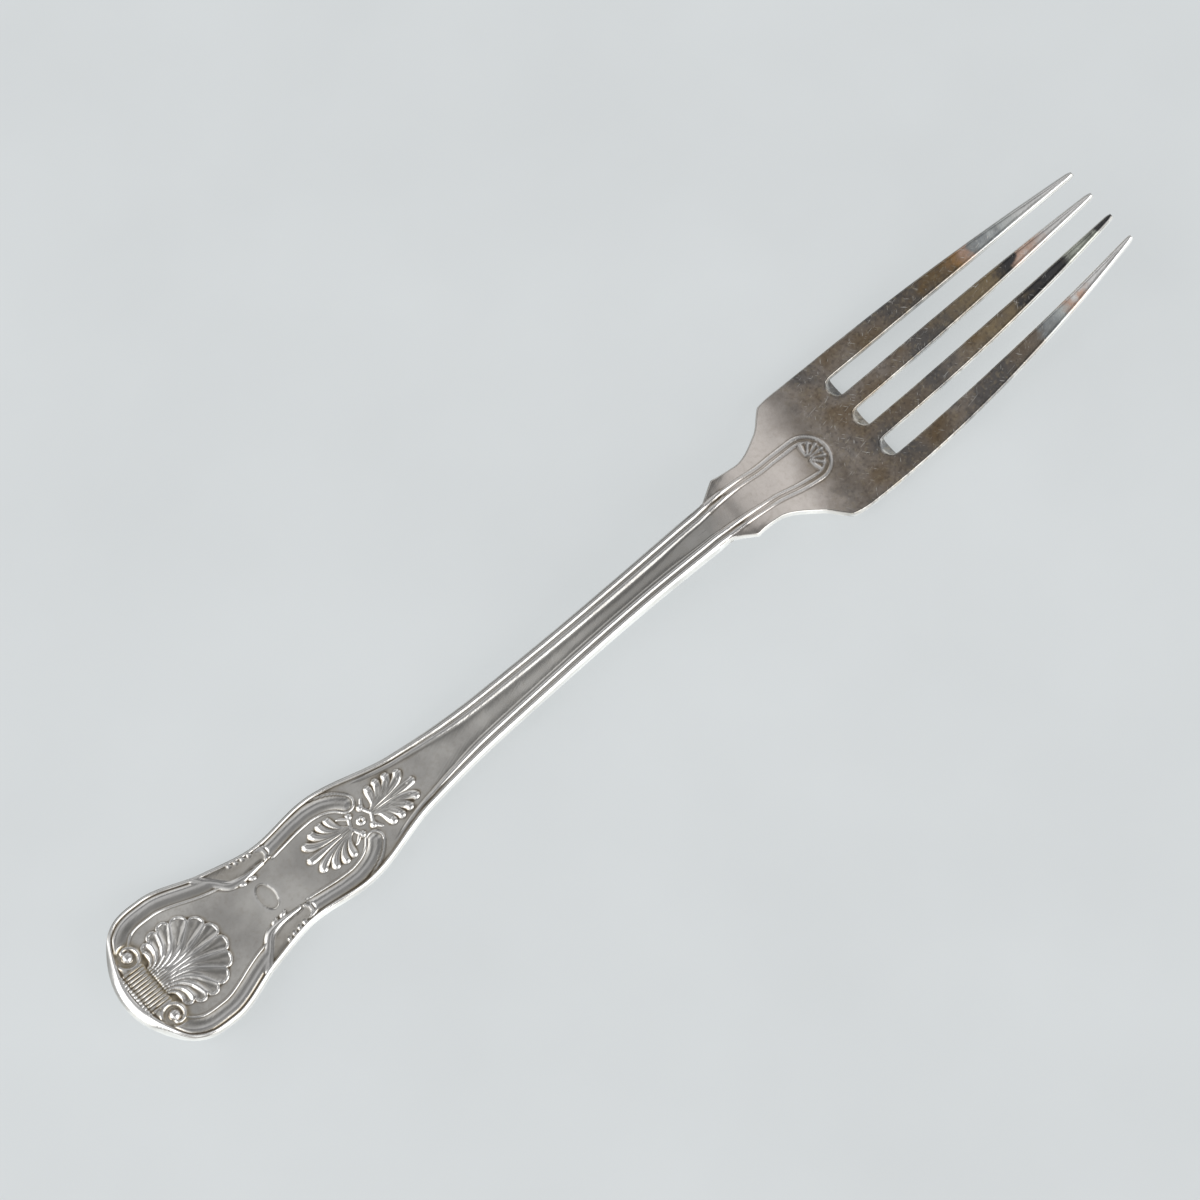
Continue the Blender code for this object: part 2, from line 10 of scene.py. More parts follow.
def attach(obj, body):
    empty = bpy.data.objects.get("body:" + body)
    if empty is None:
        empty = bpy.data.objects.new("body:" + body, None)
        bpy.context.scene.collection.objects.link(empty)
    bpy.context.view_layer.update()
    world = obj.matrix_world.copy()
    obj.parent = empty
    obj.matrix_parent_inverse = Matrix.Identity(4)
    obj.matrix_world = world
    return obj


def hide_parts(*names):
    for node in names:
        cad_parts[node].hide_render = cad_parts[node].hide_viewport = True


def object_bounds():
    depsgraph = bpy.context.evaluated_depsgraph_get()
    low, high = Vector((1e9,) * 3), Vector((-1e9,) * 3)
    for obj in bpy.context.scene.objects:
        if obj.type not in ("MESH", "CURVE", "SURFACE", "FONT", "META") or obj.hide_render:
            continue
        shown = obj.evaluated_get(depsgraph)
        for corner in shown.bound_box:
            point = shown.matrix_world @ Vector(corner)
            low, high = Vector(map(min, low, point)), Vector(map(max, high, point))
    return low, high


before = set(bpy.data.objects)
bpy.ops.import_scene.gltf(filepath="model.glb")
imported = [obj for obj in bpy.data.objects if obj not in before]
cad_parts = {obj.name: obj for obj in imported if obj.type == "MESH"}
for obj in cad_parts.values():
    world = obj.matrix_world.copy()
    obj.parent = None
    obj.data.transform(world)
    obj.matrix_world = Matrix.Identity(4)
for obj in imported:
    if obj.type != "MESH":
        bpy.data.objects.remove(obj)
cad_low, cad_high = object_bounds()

# The blank: the fork is one strip of silver, cut to this outline before it is struck and bent.
# Places run along it from the end of the handle to the tips of the tines, in millimetres, and
# every station of the outline is a place with the half width there.
MM = 0.001
FORK_LENGTH = (cad_high.x - cad_low.x) / MM
END_CORNER = (3.4, 9.0)
END_CORNER_SLOPE = 1.3
CROWN = (12.5, 12.55)
FLANK = (23.0, 9.6)
WAIST = (32.6, 7.85)
BULGE = (42.2, 8.75)
TAPER = (58.2, 5.5)
SHANK = (74.3, 4.1)
STEM = (104.0, 3.55)
STEM_TOP = (122.6, 3.75)
WING = (126.4, 6.1)
WING_SLOPE = -0.2
DIP = (131.0, 5.75)
FLARE = (137.9, 8.6)
SHOULDER = (141.8, 12.1)
SHOULDER_SLOPE = 0.75
BLOCK = (146.0, 12.55)
BLOCK_SLOPE = 0.25
ROOT_AT = 152.9
SLOT_WIDTH = 3.55
INNER_TINE_WIDTH = 3.2
INNER_TINE_BEND = 2.5
INNER_TINE_TAPER = 3.1
OUTER_TINE_BEND = 1.9
OUTER_TINE_TAPER = 2.0
TINE_TIP_WIDTH = 1.15
TIP_PITCH = 4.85
TINE_POINT_LENGTH = 1.2
TINE_POINT_WIDTH = 0.7


def smooth_through(stations, start_slope=0.0, end_slope=0.0):
    """Return a smooth function through (place, value) stations, level at its peaks."""
    places, values = np.array(stations, float).T
    steps = np.diff(places)
    slopes = np.diff(values) / steps
    tangents = np.zeros(len(places))
    tangents[0] = start_slope
    tangents[-1] = end_slope
    for index in range(1, len(steps)):
        before, after = slopes[index - 1], slopes[index]
        if before * after > 0:
            early = 2 * steps[index] + steps[index - 1]
            late = steps[index] + 2 * steps[index - 1]
            tangents[index] = (early + late) / (early / before + late / after)

    def value_at(place):
        place = np.clip(place, places[0], places[-1])
        index = np.clip(np.searchsorted(places, place, side="right") - 1, 0, len(steps) - 1)
        share = (place - places[index]) / steps[index]
        rise = share * share * (3 - 2 * share)
        leave = share * (1 - share) ** 2 * tangents[index]
        arrive = share * share * (share - 1) * tangents[index + 1]
        return values[index] + rise * (values[index + 1] - values[index]) + steps[index] * (leave + arrive)

    return value_at


shank_half = smooth_through(
    (END_CORNER, CROWN, FLANK, WAIST, BULGE, TAPER, SHANK, STEM, STEM_TOP), END_CORNER_SLOPE)
root_half = smooth_through((WING, DIP, FLARE, SHOULDER), WING_SLOPE, SHOULDER_SLOPE)
block_half = smooth_through((SHOULDER, BLOCK), BLOCK_SLOPE)


def half_width(place):
    """Half the outline's width at a place before the slots begin."""
    wing = np.interp(place, (STEM_TOP[0], WING[0]), (STEM_TOP[1], WING[1]))
    root = np.where(place < SHOULDER[0], root_half(place), block_half(place))
    return np.where(place < STEM_TOP[0], shank_half(place), np.where(place < WING[0], wing, root))


def tine_edges(place):
    """Edges of the inner and the outer tine on one side of the fork's axis, from the axis outwards."""
    share = np.clip((place - ROOT_AT) / (FORK_LENGTH - ROOT_AT), 0, 1)
    point = np.clip((place - FORK_LENGTH + TINE_POINT_LENGTH) / TINE_POINT_LENGTH, 0, 1)
    cut = 1 - (1 - TINE_POINT_WIDTH / TINE_TIP_WIDTH) * point ** 2
    outer_root = BLOCK[1] - 1.5 * SLOT_WIDTH - INNER_TINE_WIDTH
    inner_middle = (SLOT_WIDTH + INNER_TINE_WIDTH) / 2
    outer_middle = BLOCK[1] - outer_root / 2
    inner_middle = inner_middle + (TIP_PITCH / 2 - inner_middle) * share ** INNER_TINE_BEND
    outer_middle = outer_middle + (1.5 * TIP_PITCH - outer_middle) * share ** OUTER_TINE_BEND
    inner = cut * (INNER_TINE_WIDTH + (TINE_TIP_WIDTH - INNER_TINE_WIDTH) * share ** INNER_TINE_TAPER) / 2
    outer = cut * (outer_root + (TINE_TIP_WIDTH - outer_root) * share ** OUTER_TINE_TAPER) / 2
    return inner_middle - inner, inner_middle + inner, outer_middle - outer, outer_middle + outer


# The sheet: a fine grid laid over the blank, whose outer columns keep their distance from the
# edge, so that the struck threads run along them. Half of it is worked out, from the axis out.
# A row span is where it starts and ends and the step between its rows.
ROW_SPANS = (
    (END_CORNER[0], 8.0, 0.13), (8.0, 21.0, 0.175), (21.0, 36.0, 0.24), (36.0, 60.0, 0.175),
    (60.0, 120.0, 1.2), (120.0, 147.5, 0.3), (147.5, ROOT_AT + SLOT_WIDTH / 2, 0.4))
TINE_STEP = 1.1
POINT_STEP = 0.2
END_FADE = 14.0
FIELD_COLUMNS = 55
BORDER_COLUMNS = 27
COLUMNS = FIELD_COLUMNS + BORDER_COLUMNS
TINE_COLUMNS = (11, 25, 20, 26)
HEAD_BORDER = 3.75
STEM_BORDER = 2.6
BORDER_CHANGE = (50.0, 66.0)
BORDER_STOPS = ((0, 0.0), (8, 0.22), (18, 0.80), (27, 1.0))
SQUARE_FROM = (6.0, 11.0)
STEM_TOP_MARGIN = 1.0
REED_PITCH = 0.62
REED_COLUMNS = 28
COLUMNS_PER_REED = 4
REED_COLUMNS_END = (8.0, 16.0)
BLOCK_TURN = (122.0, 150.0)
SLOT_DRAW = 4.5
SLOT_DRAW_POWER = 1.5
SLOT_DRAFT = 1.6


def step_up(value, start, end):
    """Rise smoothly from 0 at start to 1 at end."""
    share = np.clip((value - start) / (end - start), 0, 1)
    return share * share * (3 - 2 * share)


spans = []
for start, end, step in ROW_SPANS:
    spans.append(np.linspace(start, end, round((end - start) / step), endpoint=False))
slot_row = sum(len(span) for span in spans)
point_at = FORK_LENGTH - TINE_POINT_LENGTH
tine_start = ROW_SPANS[-1][1]
spans.append(np.linspace(tine_start, point_at, round((point_at - tine_start) / TINE_STEP), endpoint=False))
spans.append(np.linspace(point_at, FORK_LENGTH, round(TINE_POINT_LENGTH / POINT_STEP) + 1))
edge_place = np.concatenate(spans)[:, None]
rows = len(edge_place) - 1

sheet_column = np.arange(COLUMNS + 1)[None, :]
in_border = np.clip(sheet_column - FIELD_COLUMNS, 0, BORDER_COLUMNS)
border_share = np.interp(BORDER_COLUMNS - in_border, *np.transpose(BORDER_STOPS))
field_share = np.clip(sheet_column / FIELD_COLUMNS, 0, 1)
border = np.interp(edge_place, BORDER_CHANGE, (HEAD_BORDER, STEM_BORDER))
edge_half = half_width(edge_place)
on_shank = edge_place < STEM_TOP[0] - STEM_TOP_MARGIN
slope = np.gradient(edge_half[:, 0], edge_place[:, 0])[:, None] * on_shank
stretch = np.sqrt(1 + slope ** 2)
square = step_up(edge_place, *SQUARE_FROM)
sink = border_share * border
field_half = edge_half - border / stretch
reed_step = REED_PITCH / COLUMNS_PER_REED
beside_reeds = np.clip((sheet_column - REED_COLUMNS) / (FIELD_COLUMNS - REED_COLUMNS), 0, 1)
reed_across = np.minimum(sheet_column, REED_COLUMNS) * reed_step
reed_across = reed_across + beside_reeds * (field_half - REED_COLUMNS * reed_step)
field_across = field_share * field_half
field_across += (reed_across - field_across) * (1 - step_up(edge_place, *REED_COLUMNS_END))
shank_across = field_across + (border - sink) / stretch
lean = square * slope / stretch * np.where(field_share < 1, border * field_share ** 2, sink)


def columns_between(edges):
    """Spread the half sheet's columns over the slots and tines between these edges."""
    inner_low, inner_high, outer_low, outer_high = edges
    limits = (np.zeros_like(inner_low), inner_low, inner_high, outer_low, outer_high)
    parts = []
    for part, count in enumerate(TINE_COLUMNS):
        share = np.arange(count)[None, :] / count
        if part % 2:
            share = (1 + np.sin(math.pi * (share - 0.5))) / 2
        parts.append(limits[part] + share * (limits[part + 1] - limits[part]))
    parts.append(outer_high)
    return np.concatenate(parts, axis=1)


block_across = columns_between(tine_edges(edge_place))
block_across[:slot_row] *= edge_half[:slot_row] / BLOCK[1]
across = shank_across + (block_across - shank_across) * step_up(edge_place, *BLOCK_TURN)

fade = np.clip(1 - (edge_place - END_CORNER[0]) / END_FADE, 0, 1)
bow = END_CORNER[0] * fade ** 2
place = edge_place + lean - bow * (1 - (across / across[:, -1:]) ** 2)
slot_edges = np.cumsum((0,) + TINE_COLUMNS)
draw = np.clip((edge_place - ROOT_AT + SLOT_DRAW) / (SLOT_DRAW + SLOT_WIDTH / 2), 0, 1) ** SLOT_DRAW_POWER
draft = np.zeros_like(place)
for start, end, middle in ((slot_edges[0], slot_edges[1], 0.0), (slot_edges[2], slot_edges[3], 1.0)):
    centre = middle * (across[:, end:end + 1] + across[:, start:start + 1]) / 2
    reach = across[:, end:end + 1] - centre
    arc = np.sqrt(np.clip(reach ** 2 - (across - centre) ** 2, 0, None))
    arc[:, :start] = 0
    arc[:, end + 1:] = 0
    place[:slot_row + 1] -= (arc * draw)[:slot_row + 1]
    draft[slot_row] += SLOT_DRAFT * (arc / reach)[slot_row]

# The outline again, as close points along the sides and round the slots. It gives every point of
# the sheet its distance from the nearest edge, which the mouldings and rounded edges follow.
OUTLINE_STEP = 0.02


def close_points(line):
    """Points at most OUTLINE_STEP apart along a line."""
    closer = []
    for start, end in zip(line[:-1], line[1:]):
        count = max(1, math.ceil(np.hypot(*(end - start)) / OUTLINE_STEP))
        closer.extend(start + (end - start) * step / count for step in range(count))
    return closer


sheet = np.stack([place, across], axis=-1)
tines = sheet[slot_row:]
inner_in, inner_out, outer_in = slot_edges[1:4]
side_line = np.concatenate([sheet[0], sheet[:, -1]])
outer_slot_end = sheet[slot_row, inner_out:outer_in][::-1]
outer_slot_line = np.concatenate([
    tines[-1, outer_in:], tines[::-1, outer_in], outer_slot_end, tines[:, inner_out],
    tines[-1, inner_in:inner_out]])
middle_slot_line = np.concatenate([tines[::-1, inner_in], sheet[slot_row, :inner_in][::-1]])
outline = [point for line in (side_line, outer_slot_line, middle_slot_line) for point in close_points(line)]
tree = KDTree(len(outline))
for index, point in enumerate(outline):
    tree.insert((point[0], point[1], 0), index)
tree.balance()
edge_gap = np.array([tree.find((x, y, 0))[2] for x, y in sheet.reshape(-1, 2)]).reshape(place.shape)

# The struck mouldings of the handle: a rim along the edge, and inside it on the head a rounded band
# and a thin thread. The dies strike them with everything below, and heights are from the blank's face.
FIELD = -0.34
DISH_DEPTH = 0.17
DISH_BORDER = 2.2
DISH_START = (52.0, 70.0)
DISH_END = (110.0, 119.0)
HEAD_TO_STEM = (48.0, 66.0)
RIM_AT = 0.4
RIM_REACH = 0.19
STEM_RIM_AT = 0.64
STEM_RIM_REACH = 0.4
END_RIM_WIDTH = 1.65
END_RIM_SPAN = (1.6, 5.6)
BAND_CREST = 1.6
BAND_OUTER = 0.95
BAND_INNER = 1.7
BAND_RISE = 0.37
BAND_START = (2.4, 4.4)
BAND_FROM_AXIS = 3.0
BAND_FROM_VOLUTE = (1.6, 2.2)
THREAD_AT = 3.42
THREAD_REACH = 0.16
THREAD_RISE = 0.2
THREAD_START = (5.0, 6.5)
VOLUTE = (5.3, 6.0)
FOLD_AT = 21.2
FOLD_LEAN = 1.3
FOLD_START = -0.2
FOLD_END = 0.3


def between(value, rise, fall):
    """Rise smoothly from 0 to 1 over one span and fall back to 0 over another."""
    return step_up(value, *rise) * (1 - step_up(value, *fall))


def bump(offset):
    """A soft crest, 1 high in the middle."""
    return np.exp(-offset * offset)


def mound(offset):
    """A rounded ridge, 1 high in the middle and nothing beyond 1."""
    return np.clip(1 - offset * offset, 0, None)


ground = np.full_like(place, FIELD)
dished = between(place, DISH_START, DISH_END)
ground -= DISH_DEPTH * dished * mound(across / (half_width(place) - DISH_BORDER))
rim_at = np.interp(place, HEAD_TO_STEM, (RIM_AT, STEM_RIM_AT))
rim_reach = np.interp(place, HEAD_TO_STEM, (RIM_REACH, STEM_RIM_REACH))
wide = RIM_AT + (END_RIM_WIDTH - RIM_AT) * (1 - step_up(place, *END_RIM_SPAN))
inset = np.where(edge_gap < wide, edge_gap * RIM_AT / wide, edge_gap - wide + RIM_AT)
relief = ground - ground * bump((inset - rim_at) / rim_reach)
fold_at = FOLD_AT + FOLD_LEAN * (edge_gap - RIM_AT)
before_fold = 1 - step_up(place, fold_at + FOLD_START, fold_at + FOLD_END)
from_volute = np.hypot(place - VOLUTE[0], across - VOLUTE[1])
clear = before_fold * step_up(from_volute, *BAND_FROM_VOLUTE) * step_up(place, *BAND_START)
clear = clear * (across > BAND_FROM_AXIS)
side_reach = np.where(inset < BAND_CREST, BAND_OUTER, BAND_INNER)
band = BAND_RISE * mound((inset - BAND_CREST) / side_reach) * clear
thread = THREAD_RISE * bump((inset - THREAD_AT) / THREAD_REACH) * before_fold
thread *= step_up(place, *THREAD_START)
relief = np.maximum(relief, ground + np.maximum(band, thread))

# The stem's threads: the rim broadens along the stem, and a second thread of the same kind runs
# inside it, with a narrow groove struck between the two.
INNER_THREAD_AT = 1.8
INNER_THREAD_REACH = 0.42
INNER_THREAD_SHARE = 0.92
INNER_THREAD_STATIONS = ((50.0, 1.2), (60.0, 1.45), (70.0, 1.75), (84.0, INNER_THREAD_AT))
INNER_THREAD_START = (49.0, 53.0)
INNER_THREAD_GROWS = (50.0, 70.0)
INNER_THREAD_FIRST_REACH = 0.16
INNER_THREAD_FIRST_SHARE = 0.45
GROOVE_DEPTH = 0.13
GROOVE_REACH = 0.3
GROOVE_START = (56.0, 72.0)
inner_at = np.interp(place, *np.transpose(INNER_THREAD_STATIONS))
inner_reach = np.interp(place, INNER_THREAD_GROWS, (INNER_THREAD_FIRST_REACH, INNER_THREAD_REACH))
inner_thread = step_up(place, *INNER_THREAD_START) * bump((edge_gap - inner_at) / inner_reach)
inner_share = np.interp(place, INNER_THREAD_GROWS, (INNER_THREAD_FIRST_SHARE, INNER_THREAD_SHARE))
relief = np.maximum(relief, ground - inner_share * ground * inner_thread)
groove = GROOVE_DEPTH * step_up(place, *GROOVE_START)
relief -= groove * bump((edge_gap - (rim_at + inner_at) / 2) / GROOVE_REACH)

# The end of the handle: a bundle of reeds lies across it, with a bead at each reed's outer end,
# between two volutes, into which the bands on either side roll up round a pearl.
REED_COUNT = 13
REED_RISE = 0.34
REED_ROUNDNESS = 1.6
REED_SQUARENESS = 4
REEDS_AT = 4.3
REEDS_OUTER_REACH = 1.65
REEDS_INNER_REACH = 2.2
REED_DEPTH_SPAN = (3.6, 5.8)
REED_DEPTHS = (0.95, 0.5)
REED_BEAD_AT = 2.25
REED_BEAD = 0.3
REED_BEAD_FOOT = 0.1
REED_BEAD_RISE = 0.34
VOLUTE_BALL = 0.92
VOLUTE_BALL_RISE = 0.75
COIL_TURN = np.radians((110.0, -190.0))
COIL_RADII = (1.1, 2.15)
COIL_REACH = 0.24
COIL_RISE = 0.3
COIL_FADE = (0.85, 1.0)
COIL_STEPS = 48
COIL_ROOM = 3.0


def dome(offset):
    """A half round, 1 high in the middle and nothing beyond 1."""
    return np.sqrt(mound(offset))


def from_path(path, place, across):
    """Distance of points from a path, the side that they lie on, and their share of its length."""
    starts = path[:-1]
    runs = np.diff(path, axis=0)
    lengths = np.hypot(runs[:, 0], runs[:, 1])
    along = place[..., None] - starts[:, 0]
    aside = across[..., None] - starts[:, 1]
    share = np.clip((along * runs[:, 0] + aside * runs[:, 1]) / lengths ** 2, 0, 1)
    distance = np.hypot(along - share * runs[:, 0], aside - share * runs[:, 1])
    nearest = distance.argmin(axis=-1)[..., None]
    side = np.sign(runs[:, 0] * aside - runs[:, 1] * along)
    done = (np.cumsum(lengths) - lengths + share * lengths) / lengths.sum()
    return tuple(np.take_along_axis(values, nearest, -1)[..., 0] for values in (distance, side, done))


def spoke(angle):
    """A step of 1 at an angle to the fork's axis."""
    return np.stack([np.cos(angle), np.sin(angle)], axis=-1)


def near(low_place, high_place, reach_across=math.inf):
    """The part of the sheet between two places, to work on without the rest."""
    return np.where((place > low_place) & (place < high_place) & (across < reach_across))


in_reeds = across < REED_COUNT / 2 * REED_PITCH
reed_phase = across / REED_PITCH
off_crest = reed_phase - np.round(reed_phase)
reeds_reach = np.where(place > REEDS_AT, REEDS_INNER_REACH, REEDS_OUTER_REACH)
lengthwise = np.sqrt(np.clip(1 - np.abs((place - REEDS_AT) / reeds_reach) ** REED_SQUARENESS, 0, None))
reed_depth = np.interp(place, REED_DEPTH_SPAN, REED_DEPTHS)
rounded = 1 - reed_depth * np.abs(2 * off_crest) ** REED_ROUNDNESS
relief = np.maximum(relief, ground + REED_RISE * rounded * lengthwise * in_reeds)
reed_offset = off_crest * REED_PITCH
bead = dome(np.hypot(place - REED_BEAD_AT, reed_offset) / REED_BEAD) * in_reeds
bead_height = ground + REED_BEAD_FOOT + REED_BEAD_RISE * bead
relief = np.where(bead > 0, np.maximum(relief, bead_height), relief)

ball = ground + VOLUTE_BALL_RISE * dome(from_volute / VOLUTE_BALL)
relief = np.where(from_volute < VOLUTE_BALL, np.maximum(relief, ball), relief)
coil_share = np.linspace(0, 1, COIL_STEPS + 1)
coil_turn = np.interp(coil_share, (0, 1), COIL_TURN)
coil_radius = np.interp(np.sqrt(coil_share), (0, 1), COIL_RADII)
coil_path = np.array(VOLUTE) + coil_radius[:, None] * spoke(coil_turn)
part = near(VOLUTE[0] - COIL_ROOM, VOLUTE[0] + COIL_ROOM)
gap, side, done = from_path(coil_path, place[part], across[part])
coil = COIL_RISE * bump(gap / COIL_REACH) * (1 - step_up(done, *COIL_FADE))
relief[part] = np.maximum(relief[part], ground[part] + coil)

# The shell: a scallop of twelve flutes that spreads from the reeds over the broadest part of the
# handle, with a thin ridge between flutes, fine strands near the reeds and a hollow towards the end
# of every flute. A cusp is where a ridge meets the edge, given as its bearing from the centre.
SHELL_BASE = 6.3
SHELL_CENTRE = 12.2
SHELL_AREA = (SHELL_BASE - 0.4, 20.5, 9.0)
SHELL_CUSP_RADIUS = 6.3
SHELL_CUSPS = np.radians((0.0, 24.8, 50.0, 76.0, 97.0, 116.0, 134.0))
SHELL_LOBE = 1.1
SHELL_RISE = 0.3
SHELL_SWELL = 0.2
SHELL_SWELL_AT = 11.2
SHELL_SWELL_REACH = 6.2
SHELL_EDGE = (0.0, 0.2)
SHELL_FOOT = (SHELL_BASE - 0.2, SHELL_BASE + 0.8)
SHELL_FROM_VOLUTE = (1.8, 2.1)
SHELL_LAST_EDGE = (-0.3, 0.15)
RIDGE_STEP = 0.42
RIDGE_LEAVE = 0.5
RIDGE_ARRIVE = 0.38
RIDGE_HEADING = 0.85
RIDGE_RISE = 0.07
RIDGE_REACH = 0.15
HOLLOW_DEPTH = 0.28
HOLLOW_BEARINGS = (0.3, 2.2)
HOLLOW_LENGTHS = (6.0, 3.8)
HOLLOW_WIDTH = 0.92
HOLLOW_LEAST_WIDTH = 0.05
HOLLOW_NARROWING = 0.4
HOLLOW_SHALLOWING = 0.6
HOLLOW_EDGE = (0.14, 0.55)
STRAND_RISE = 0.1
STRANDS_START = (0.3, 1.5)
STRANDS_END = (5.0, 8.5)


def bezier(start, leave, arrive, end, steps=20):
    """Points along a cubic curve."""
    share = np.linspace(0, 1, steps + 1)[:, None]
    start, leave, arrive, end = (np.array(point, float) for point in (start, leave, arrive, end))
    away = (1 - share) ** 3 * start + 3 * (1 - share) ** 2 * share * leave
    return away + 3 * (1 - share) * share ** 2 * arrive + share ** 3 * end


part = near(*SHELL_AREA)
shell_place, shell_across = place[part], across[part]
ridge_gaps = []
ridge_sides = []
for index, angle in enumerate(SHELL_CUSPS):
    root = np.array((SHELL_BASE, RIDGE_STEP * index))
    cusp = np.array((SHELL_CENTRE, 0.0)) + SHELL_CUSP_RADIUS * spoke(angle)
    chord = np.hypot(*(cusp - root))
    leave = root + (RIDGE_LEAVE * chord, 0.0)
    arrive = cusp - RIDGE_ARRIVE * chord * spoke(RIDGE_HEADING * angle)
    gap, side, done = from_path(bezier(root, leave, arrive, cusp), shell_place, shell_across)
    ridge_gaps.append(gap)
    ridge_sides.append(side)
ridge_gaps = np.array(ridge_gaps)
last_flute = len(SHELL_CUSPS) - 2
flute = np.clip((np.array(ridge_sides)[1:] > 0).sum(axis=0), 0, last_flute)
pick = np.arange(flute.size)
below, above = ridge_gaps[flute, pick], ridge_gaps[flute + 1, pick]
flute_share = below / np.maximum(below + above, 1e-6)
from_centre = np.hypot(shell_place - SHELL_CENTRE, shell_across)
bearing = np.arctan2(shell_across, shell_place - SHELL_CENTRE)
lobe = np.interp(bearing, SHELL_CUSPS, np.arange(len(SHELL_CUSPS)))
lobe_share = lobe - np.minimum(np.floor(lobe), last_flute)
inside = SHELL_CUSP_RADIUS + SHELL_LOBE * dome(2 * lobe_share - 1) - from_centre
deep = np.clip(1 - inside / np.interp(bearing, HOLLOW_BEARINGS, HOLLOW_LENGTHS), 0, 1)
hollow_width = np.maximum(HOLLOW_WIDTH * deep ** HOLLOW_NARROWING, HOLLOW_LEAST_WIDTH)
hollow = mound((2 * flute_share - 1) / hollow_width)
hollow *= deep ** HOLLOW_SHALLOWING * step_up(inside, *HOLLOW_EDGE)
from_root = np.hypot(shell_place - SHELL_BASE, shell_across)
strands = STRAND_RISE * np.cos(2 * math.pi * flute_share) * between(from_root, STRANDS_START, STRANDS_END)
swell = SHELL_SWELL * mound(np.hypot(shell_place - SHELL_SWELL_AT, shell_across) / SHELL_SWELL_REACH)
ridges = RIDGE_RISE * bump(np.minimum(below, above) / RIDGE_REACH)
shell = SHELL_RISE + swell + strands + ridges - HOLLOW_DEPTH * hollow
cut = step_up(inside, *SHELL_EDGE) * step_up(shell_place, *SHELL_FOOT)
cut *= step_up(from_volute[part], *SHELL_FROM_VOLUTE)
cut *= step_up(-ridge_gaps[-1] * ridge_sides[-1], *SHELL_LAST_EDGE)
relief[part] = np.maximum(relief[part], FIELD + shell * cut)
on_shell = np.zeros(place.shape)
on_shell[part] = cut

# The leaf cuffs: at the waist each band is clasped by an acanthus leaf, folded over along a
# diagonal, beaded along its inner edge and notched along the outer one, with a raised lip.
CUFF_AREA = (20.0, 35.0)
CUFF_MIDDLE = 2.0
CUFF_REACH = 2.0
CUFF_RISE = 0.2
CUFF_START = (0.2, 0.5)
CUFF_END = (32.4, 32.9)
RIBBON_PATH = ((21.4, 9.5), (23.6, 7.2), (25.7, 5.2), (28.4, 4.75), (31.4, 4.85))
RIBBON_RISE = 0.36
RIBBON_OUTER = 0.9
RIBBON_INNER = 1.2
RIBBON_NARROWING = 0.65
RIBBON_NARROWS = (0.35, 1.0)
CUFF_BEADS = ((26.9, 4.05), (28.7, 3.85))
CUFF_BEAD_RISE = 0.32
CUFF_BEAD_LONG = 0.75
CUFF_BEAD_WIDE = 0.42
CUFF_BEAD_LEAN = 0.5
TOOTH_PITCH = 1.2
TOOTH_RISE = 0.42
TOOTH_AT = 0.9
TOOTH_REACH = 0.55
TEETH_START = (26.2, 26.5)
TEETH_END = (31.4, 31.6)
LIP_BENDS = ((31.7, 7.1), (33.3, 6.8), (33.3, 5.5), (32.2, 4.75))
LIP_RISE = 0.36
LIP_WIDTH = 0.7
LIP_DROP = 0.22
LIP_END_WIDTH = 0.35
OUTER_LIP_SHIFT = 0.62
OUTER_LIP_WIDTH = 0.35


def smooth_path(points, steps=48):
    """Points along a smooth curve through a few given ones."""
    points = np.array(points)
    run = np.concatenate([[0], np.cumsum(np.hypot(*np.diff(points, axis=0).T))])
    closer = np.linspace(0, run[-1], steps + 1)
    return np.stack([smooth_through(list(zip(run, values)))(closer) for values in points.T], axis=-1)


cuff_part = near(*CUFF_AREA)
cuff_place, cuff_across, cuff_gap = place[cuff_part], across[cuff_part], edge_gap[cuff_part]
ribbon_gap, side, done = from_path(smooth_path(RIBBON_PATH), cuff_place, cuff_across)
narrowing = 1 - RIBBON_NARROWING * step_up(done, *RIBBON_NARROWS)
fold = np.clip(1 - ribbon_gap / (RIBBON_OUTER * narrowing), 0, 1)
ribbon = RIBBON_RISE * np.where(side > 0, fold, mound(ribbon_gap / (RIBBON_INNER * narrowing)))
outside = (side > 0) * step_up(ribbon_gap, *CUFF_START) * (1 - step_up(cuff_place, *CUFF_END))
cuff = CUFF_RISE * mound((cuff_gap - CUFF_MIDDLE) / CUFF_REACH) * outside
tooth = 1 - 2 * np.abs((cuff_place / TOOTH_PITCH) % 1 - 0.5)
teeth = TOOTH_RISE * tooth * mound((cuff_gap - TOOTH_AT) / TOOTH_REACH)
teeth *= between(cuff_place, TEETH_START, TEETH_END)
leaf = np.maximum(np.maximum(ribbon, cuff), teeth)
for shift, width in ((0.0, LIP_WIDTH), (OUTER_LIP_SHIFT, OUTER_LIP_WIDTH)):
    bends = [(bend[0] + shift, bend[1]) for bend in LIP_BENDS]
    gap, side, done = from_path(bezier(*bends), cuff_place, cuff_across)
    lip_width = LIP_END_WIDTH + (1 - LIP_END_WIDTH) * np.sin(math.pi * done)
    leaf = np.maximum(leaf, LIP_RISE * mound(gap / (np.where(side < 0, width, LIP_DROP) * lip_width)))
for bead_place, bead_across in CUFF_BEADS:
    along, aside = cuff_place - bead_place, cuff_across - bead_across
    lengthways = along * math.cos(CUFF_BEAD_LEAN) - aside * math.sin(CUFF_BEAD_LEAN)
    crossways = along * math.sin(CUFF_BEAD_LEAN) + aside * math.cos(CUFF_BEAD_LEAN)
    from_bead = np.hypot(lengthways / CUFF_BEAD_LONG, crossways / CUFF_BEAD_WIDE)
    leaf = np.maximum(leaf, CUFF_BEAD_RISE * mound(from_bead))
relief[cuff_part] = np.maximum(relief[cuff_part], ground[cuff_part] + leaf)

